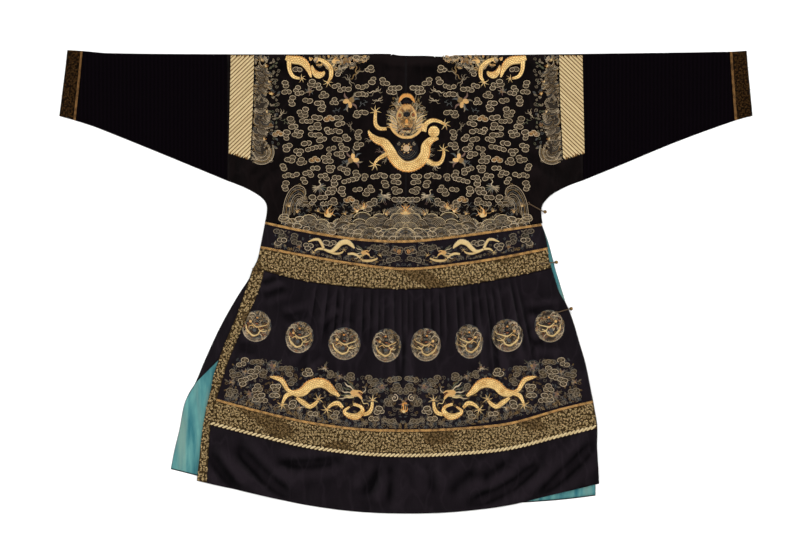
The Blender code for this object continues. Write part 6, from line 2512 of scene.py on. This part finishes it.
@dataclass
class Closure:
    """Three cord loops sewn along the right edge, each with a gilt ball button in it."""

    cord: Finish
    brass: Finish
    twist_pitch: float = 7.0
    strand: float = 0.85
    steps: int = 44
    segments: int = 32
    rings: int = 18
    eye_steps: int = 22
    eye_radius: float = 3.2
    eye_away: float = 3.4       # from the cord's end to the middle of its eye
    eye_drop: float = 0.4

    def route(self, toggle: ToggleRow) -> Array:
        """Middle of the cord from its sewn tail to the ball."""
        share = np.linspace(0, 1, self.steps)
        x, y = mix(toggle.tail_x, toggle.edge_x, share), mix(toggle.tail_y, toggle.edge_y, share)
        top = SILK / 2 + SEAM_GAP + CORD_RADIUS + toggle.rise
        cord = np.stack((x, y, back_height(np.minimum(x, toggle.cloth_x), y) + top), 1)
        ball = np.array((toggle.ball_x, toggle.ball_y, BALL_RADIUS))
        gap = cord[-1] - ball
        end = ball + gap / np.linalg.norm(gap) * (BALL_RADIUS + 0.2)
        return np.concatenate((cord, mix(cord[-1], end, np.linspace(0, 1, 9)[1:, None])))

    def loop(self, number: int, toggle: ToggleRow) -> Piece:
        """Make two strands twisted round the route, and the eye that ends them in a small ring."""
        line = self.route(toggle)
        run, side, over = directions(line)
        along = np.concatenate(([0], np.cumsum(np.linalg.norm(np.diff(line, axis=0), axis=1))))
        strands = []
        for phase in (0, np.pi):
            angle = (2 * np.pi * along / self.twist_pitch + phase)[:, None]
            offset = CORD_RADIUS - self.strand
            strands.append(line + offset * (side * np.cos(angle) + over * np.sin(angle)))
        angle = np.linspace(0, 2 * np.pi, self.eye_steps)
        eye = line[0] - run[0] * self.eye_away
        strands.append(np.stack((eye[0] + self.eye_radius * np.cos(angle),
                                 eye[1] + self.eye_radius * np.sin(angle),
                                 np.full(self.eye_steps, line[0, 2] - self.eye_drop)), 1))
        mesh = bpy.data.meshes.new(f"toggle_loop_{number}")
        tube_mesh(mesh, strands, self.strand)
        return add_piece(mesh.name, mesh, [self.cord], "cord", f"toggle_cord_{number}")

    def ball(self, number: int, toggle: ToggleRow) -> Piece:
        """Make the ball with its turned grooves."""
        mesh = bpy.data.meshes.new(f"ball_button_{number}")
        latitude = np.linspace(-np.pi / 2, np.pi / 2, self.rings)[1:-1]
        angle = np.linspace(0, 2 * np.pi, self.segments, endpoint=False)[None, :]
        radius = BALL_RADIUS * (1 - 0.035 * np.exp(-((latitude - 0.45) / 0.12) ** 2)
                                - 0.035 * np.exp(-((latitude + 0.45) / 0.12) ** 2))[:, None]
        lobes = 1 - 0.02 * np.cos(8 * angle) * np.cos(latitude)[:, None] ** 2
        shell = np.stack((radius * np.cos(latitude)[:, None] * np.cos(angle) * lobes,
                          radius * np.cos(latitude)[:, None] * np.sin(angle) * lobes,
                          np.broadcast_to(radius * np.sin(latitude)[:, None], lobes.shape)), -1)
        poles = np.array(((0, 0, -BALL_RADIUS), (0, 0, BALL_RADIUS)), float)
        first = np.arange(shell.shape[0] * self.segments).reshape(shell.shape[:2])
        ahead = np.roll(first, -1, 1)
        quads = np.stack((first[:-1], ahead[:-1], ahead[1:], first[1:]), -1).reshape(-1, 4)
        low, high = first.size, first.size + 1
        triangles = np.concatenate((np.stack((ahead[0], first[0], np.full(self.segments, low)), 1),
                                    np.stack((first[-1], ahead[-1], np.full(self.segments, high)), 1)))
        points = np.concatenate((shell.reshape(-1, 3), poles)) + (toggle.ball_x, toggle.ball_y, BALL_RADIUS)
        fill_mesh(mesh, points, quads, triangles)
        return add_piece(mesh.name, mesh, [self.brass], "button_metal", f"toggle_button_{number}")

    def build(self) -> None:
        """Make the three loops and the three balls."""
        for number, toggle in enumerate(TOGGLES, 1):
            self.loop(number, toggle)
            self.ball(number, toggle)
            LOG.info("toggle %d", number)


# ------------------------------------------------------------------ studio
@dataclass
class Studio:
    """Pale floor, soft lights from both sides and a camera straight above the robe."""

    paper: Finish
    floor_size: float = 40.0
    focal_mm: float = 85.0
    camera_at: tuple[float, float, float] = (-0.0165, 0.014, 5.289)

    def light(self, name: str, place: tuple[float, float, float], size: tuple[float, float], power: float,
              colour: str = "#ffffff") -> None:
        """Hang a soft box that faces the robe."""
        data = bpy.data.lights.new(name, "AREA")
        data.shape = "RECTANGLE"
        data.size, data.size_y = size
        data.energy = power
        data.color = linear(colour)[:3]
        lamp = bpy.data.objects.new(name, data)
        lamp.location = place
        from_robe = lamp.location.normalized()
        lamp.rotation_euler = from_robe.to_track_quat("Z", "Y").to_euler()
        bpy.context.scene.collection.objects.link(lamp)

    def build(self) -> None:
        """Set the floor, the lights, the surroundings and the camera."""
        mesh = bpy.data.meshes.new("floor")
        half = self.floor_size / 2 / MM
        fill_mesh(mesh, np.array([(-half, -half, 0), (half, -half, 0), (half, half, 0), (-half, half, 0)],
                                 float), np.array([[0, 1, 2, 3]]))
        floor = bpy.data.objects.new("floor", mesh)
        floor.location.z = -0.0006
        bpy.context.scene.collection.objects.link(floor)
        mesh.materials.append(self.paper.material())

        self.light("softbox_left", (-3.6, 0.4, 3.2), (2.6, 3.4), 175)
        self.light("softbox_right", (3.6, 0.4, 3.2), (2.6, 3.4), 175)
        self.light("softbox_top", (0.0, 3.8, 3.0), (4.0, 1.8), 85)
        self.light("softbox_low", (0.0, -3.8, 3.0), (4.0, 1.8), 70)

        world = bpy.data.worlds.new("studio")
        bpy.context.scene.world = world
        world.use_nodes = True
        world.node_tree.nodes["Background"].inputs["Color"].default_value = linear("#ffffff")
        world.node_tree.nodes["Background"].inputs["Strength"].default_value = 0.35
        bpy.context.scene.view_settings.view_transform = "Standard"

        data = bpy.data.cameras.new("camera")
        data.lens = self.focal_mm
        data.sensor_width = 36.0
        camera = bpy.data.objects.new("camera", data)
        camera.location = self.camera_at
        bpy.context.scene.collection.objects.link(camera)
        bpy.context.scene.camera = camera


def main() -> None:
    """Build the robe from the floor up, then its needlework, its closure and the studio."""
    logging.basicConfig(level=logging.INFO, format="%(name)s: %(message)s")
    silk, ribbed, brocade = SilkSatin(), RibbedSilk(), BrocadeGround()
    # bodice silk: #010101 is its painted fold shade and #100b0b its painted fold highlight
    dark_silk = SilkSatin("black_silk_satin_bodice", "#010101", "#100b0b", specular=0.015)
    worn_brocade = BrocadeGround("brocade_ground_worn", "#080401", "#1a0f06", 0.012)
    cuff_braid = WovenBraid("gilt_braid_cuff", "#1c1006", "#70502c", 0.06)
    braid, lining, cord = WovenBraid(), LiningSilk(), SilkCord()

    front = FrontSkirt(silk, lining)
    bodice = Bodice(dark_silk)
    sleeves = Sleeves(ribbed, worn_brocade, cuff_braid)
    skirt = Skirt(silk, brocade, braid)
    band = WaistBand(silk, brocade, braid)
    for part in (front, bodice, sleeves, skirt, band):
        part.build()
    rope = RopeBraid(WovenBraid("woven_braid_tape", "#1c1108", "#4a3319", 0.06)).build(skirt)
    weft = Brocades().build()
    sewn = {
        "bodice_left": BodiceWork().build() + WaterBands().build() + WaveBank().build(),
        "waist_band": BandWork().build() + band.trims,
        "skirt_back": BorderWork().build() + RoundelWork().build() + skirt.trims + rope}
    Closure(cord, GiltBrass()).build()
    for part in (front, bodice, sleeves, skirt, band):
        for name, cloth in part.pieces.items():
            trims = sewn.get(name, []) + [extra[name] for extra in (weft, sleeves.braids) if name in extra]
            cloth.declare(*trims)

    Studio(BackdropPaper()).build()


if __name__ == "__main__":
    main()
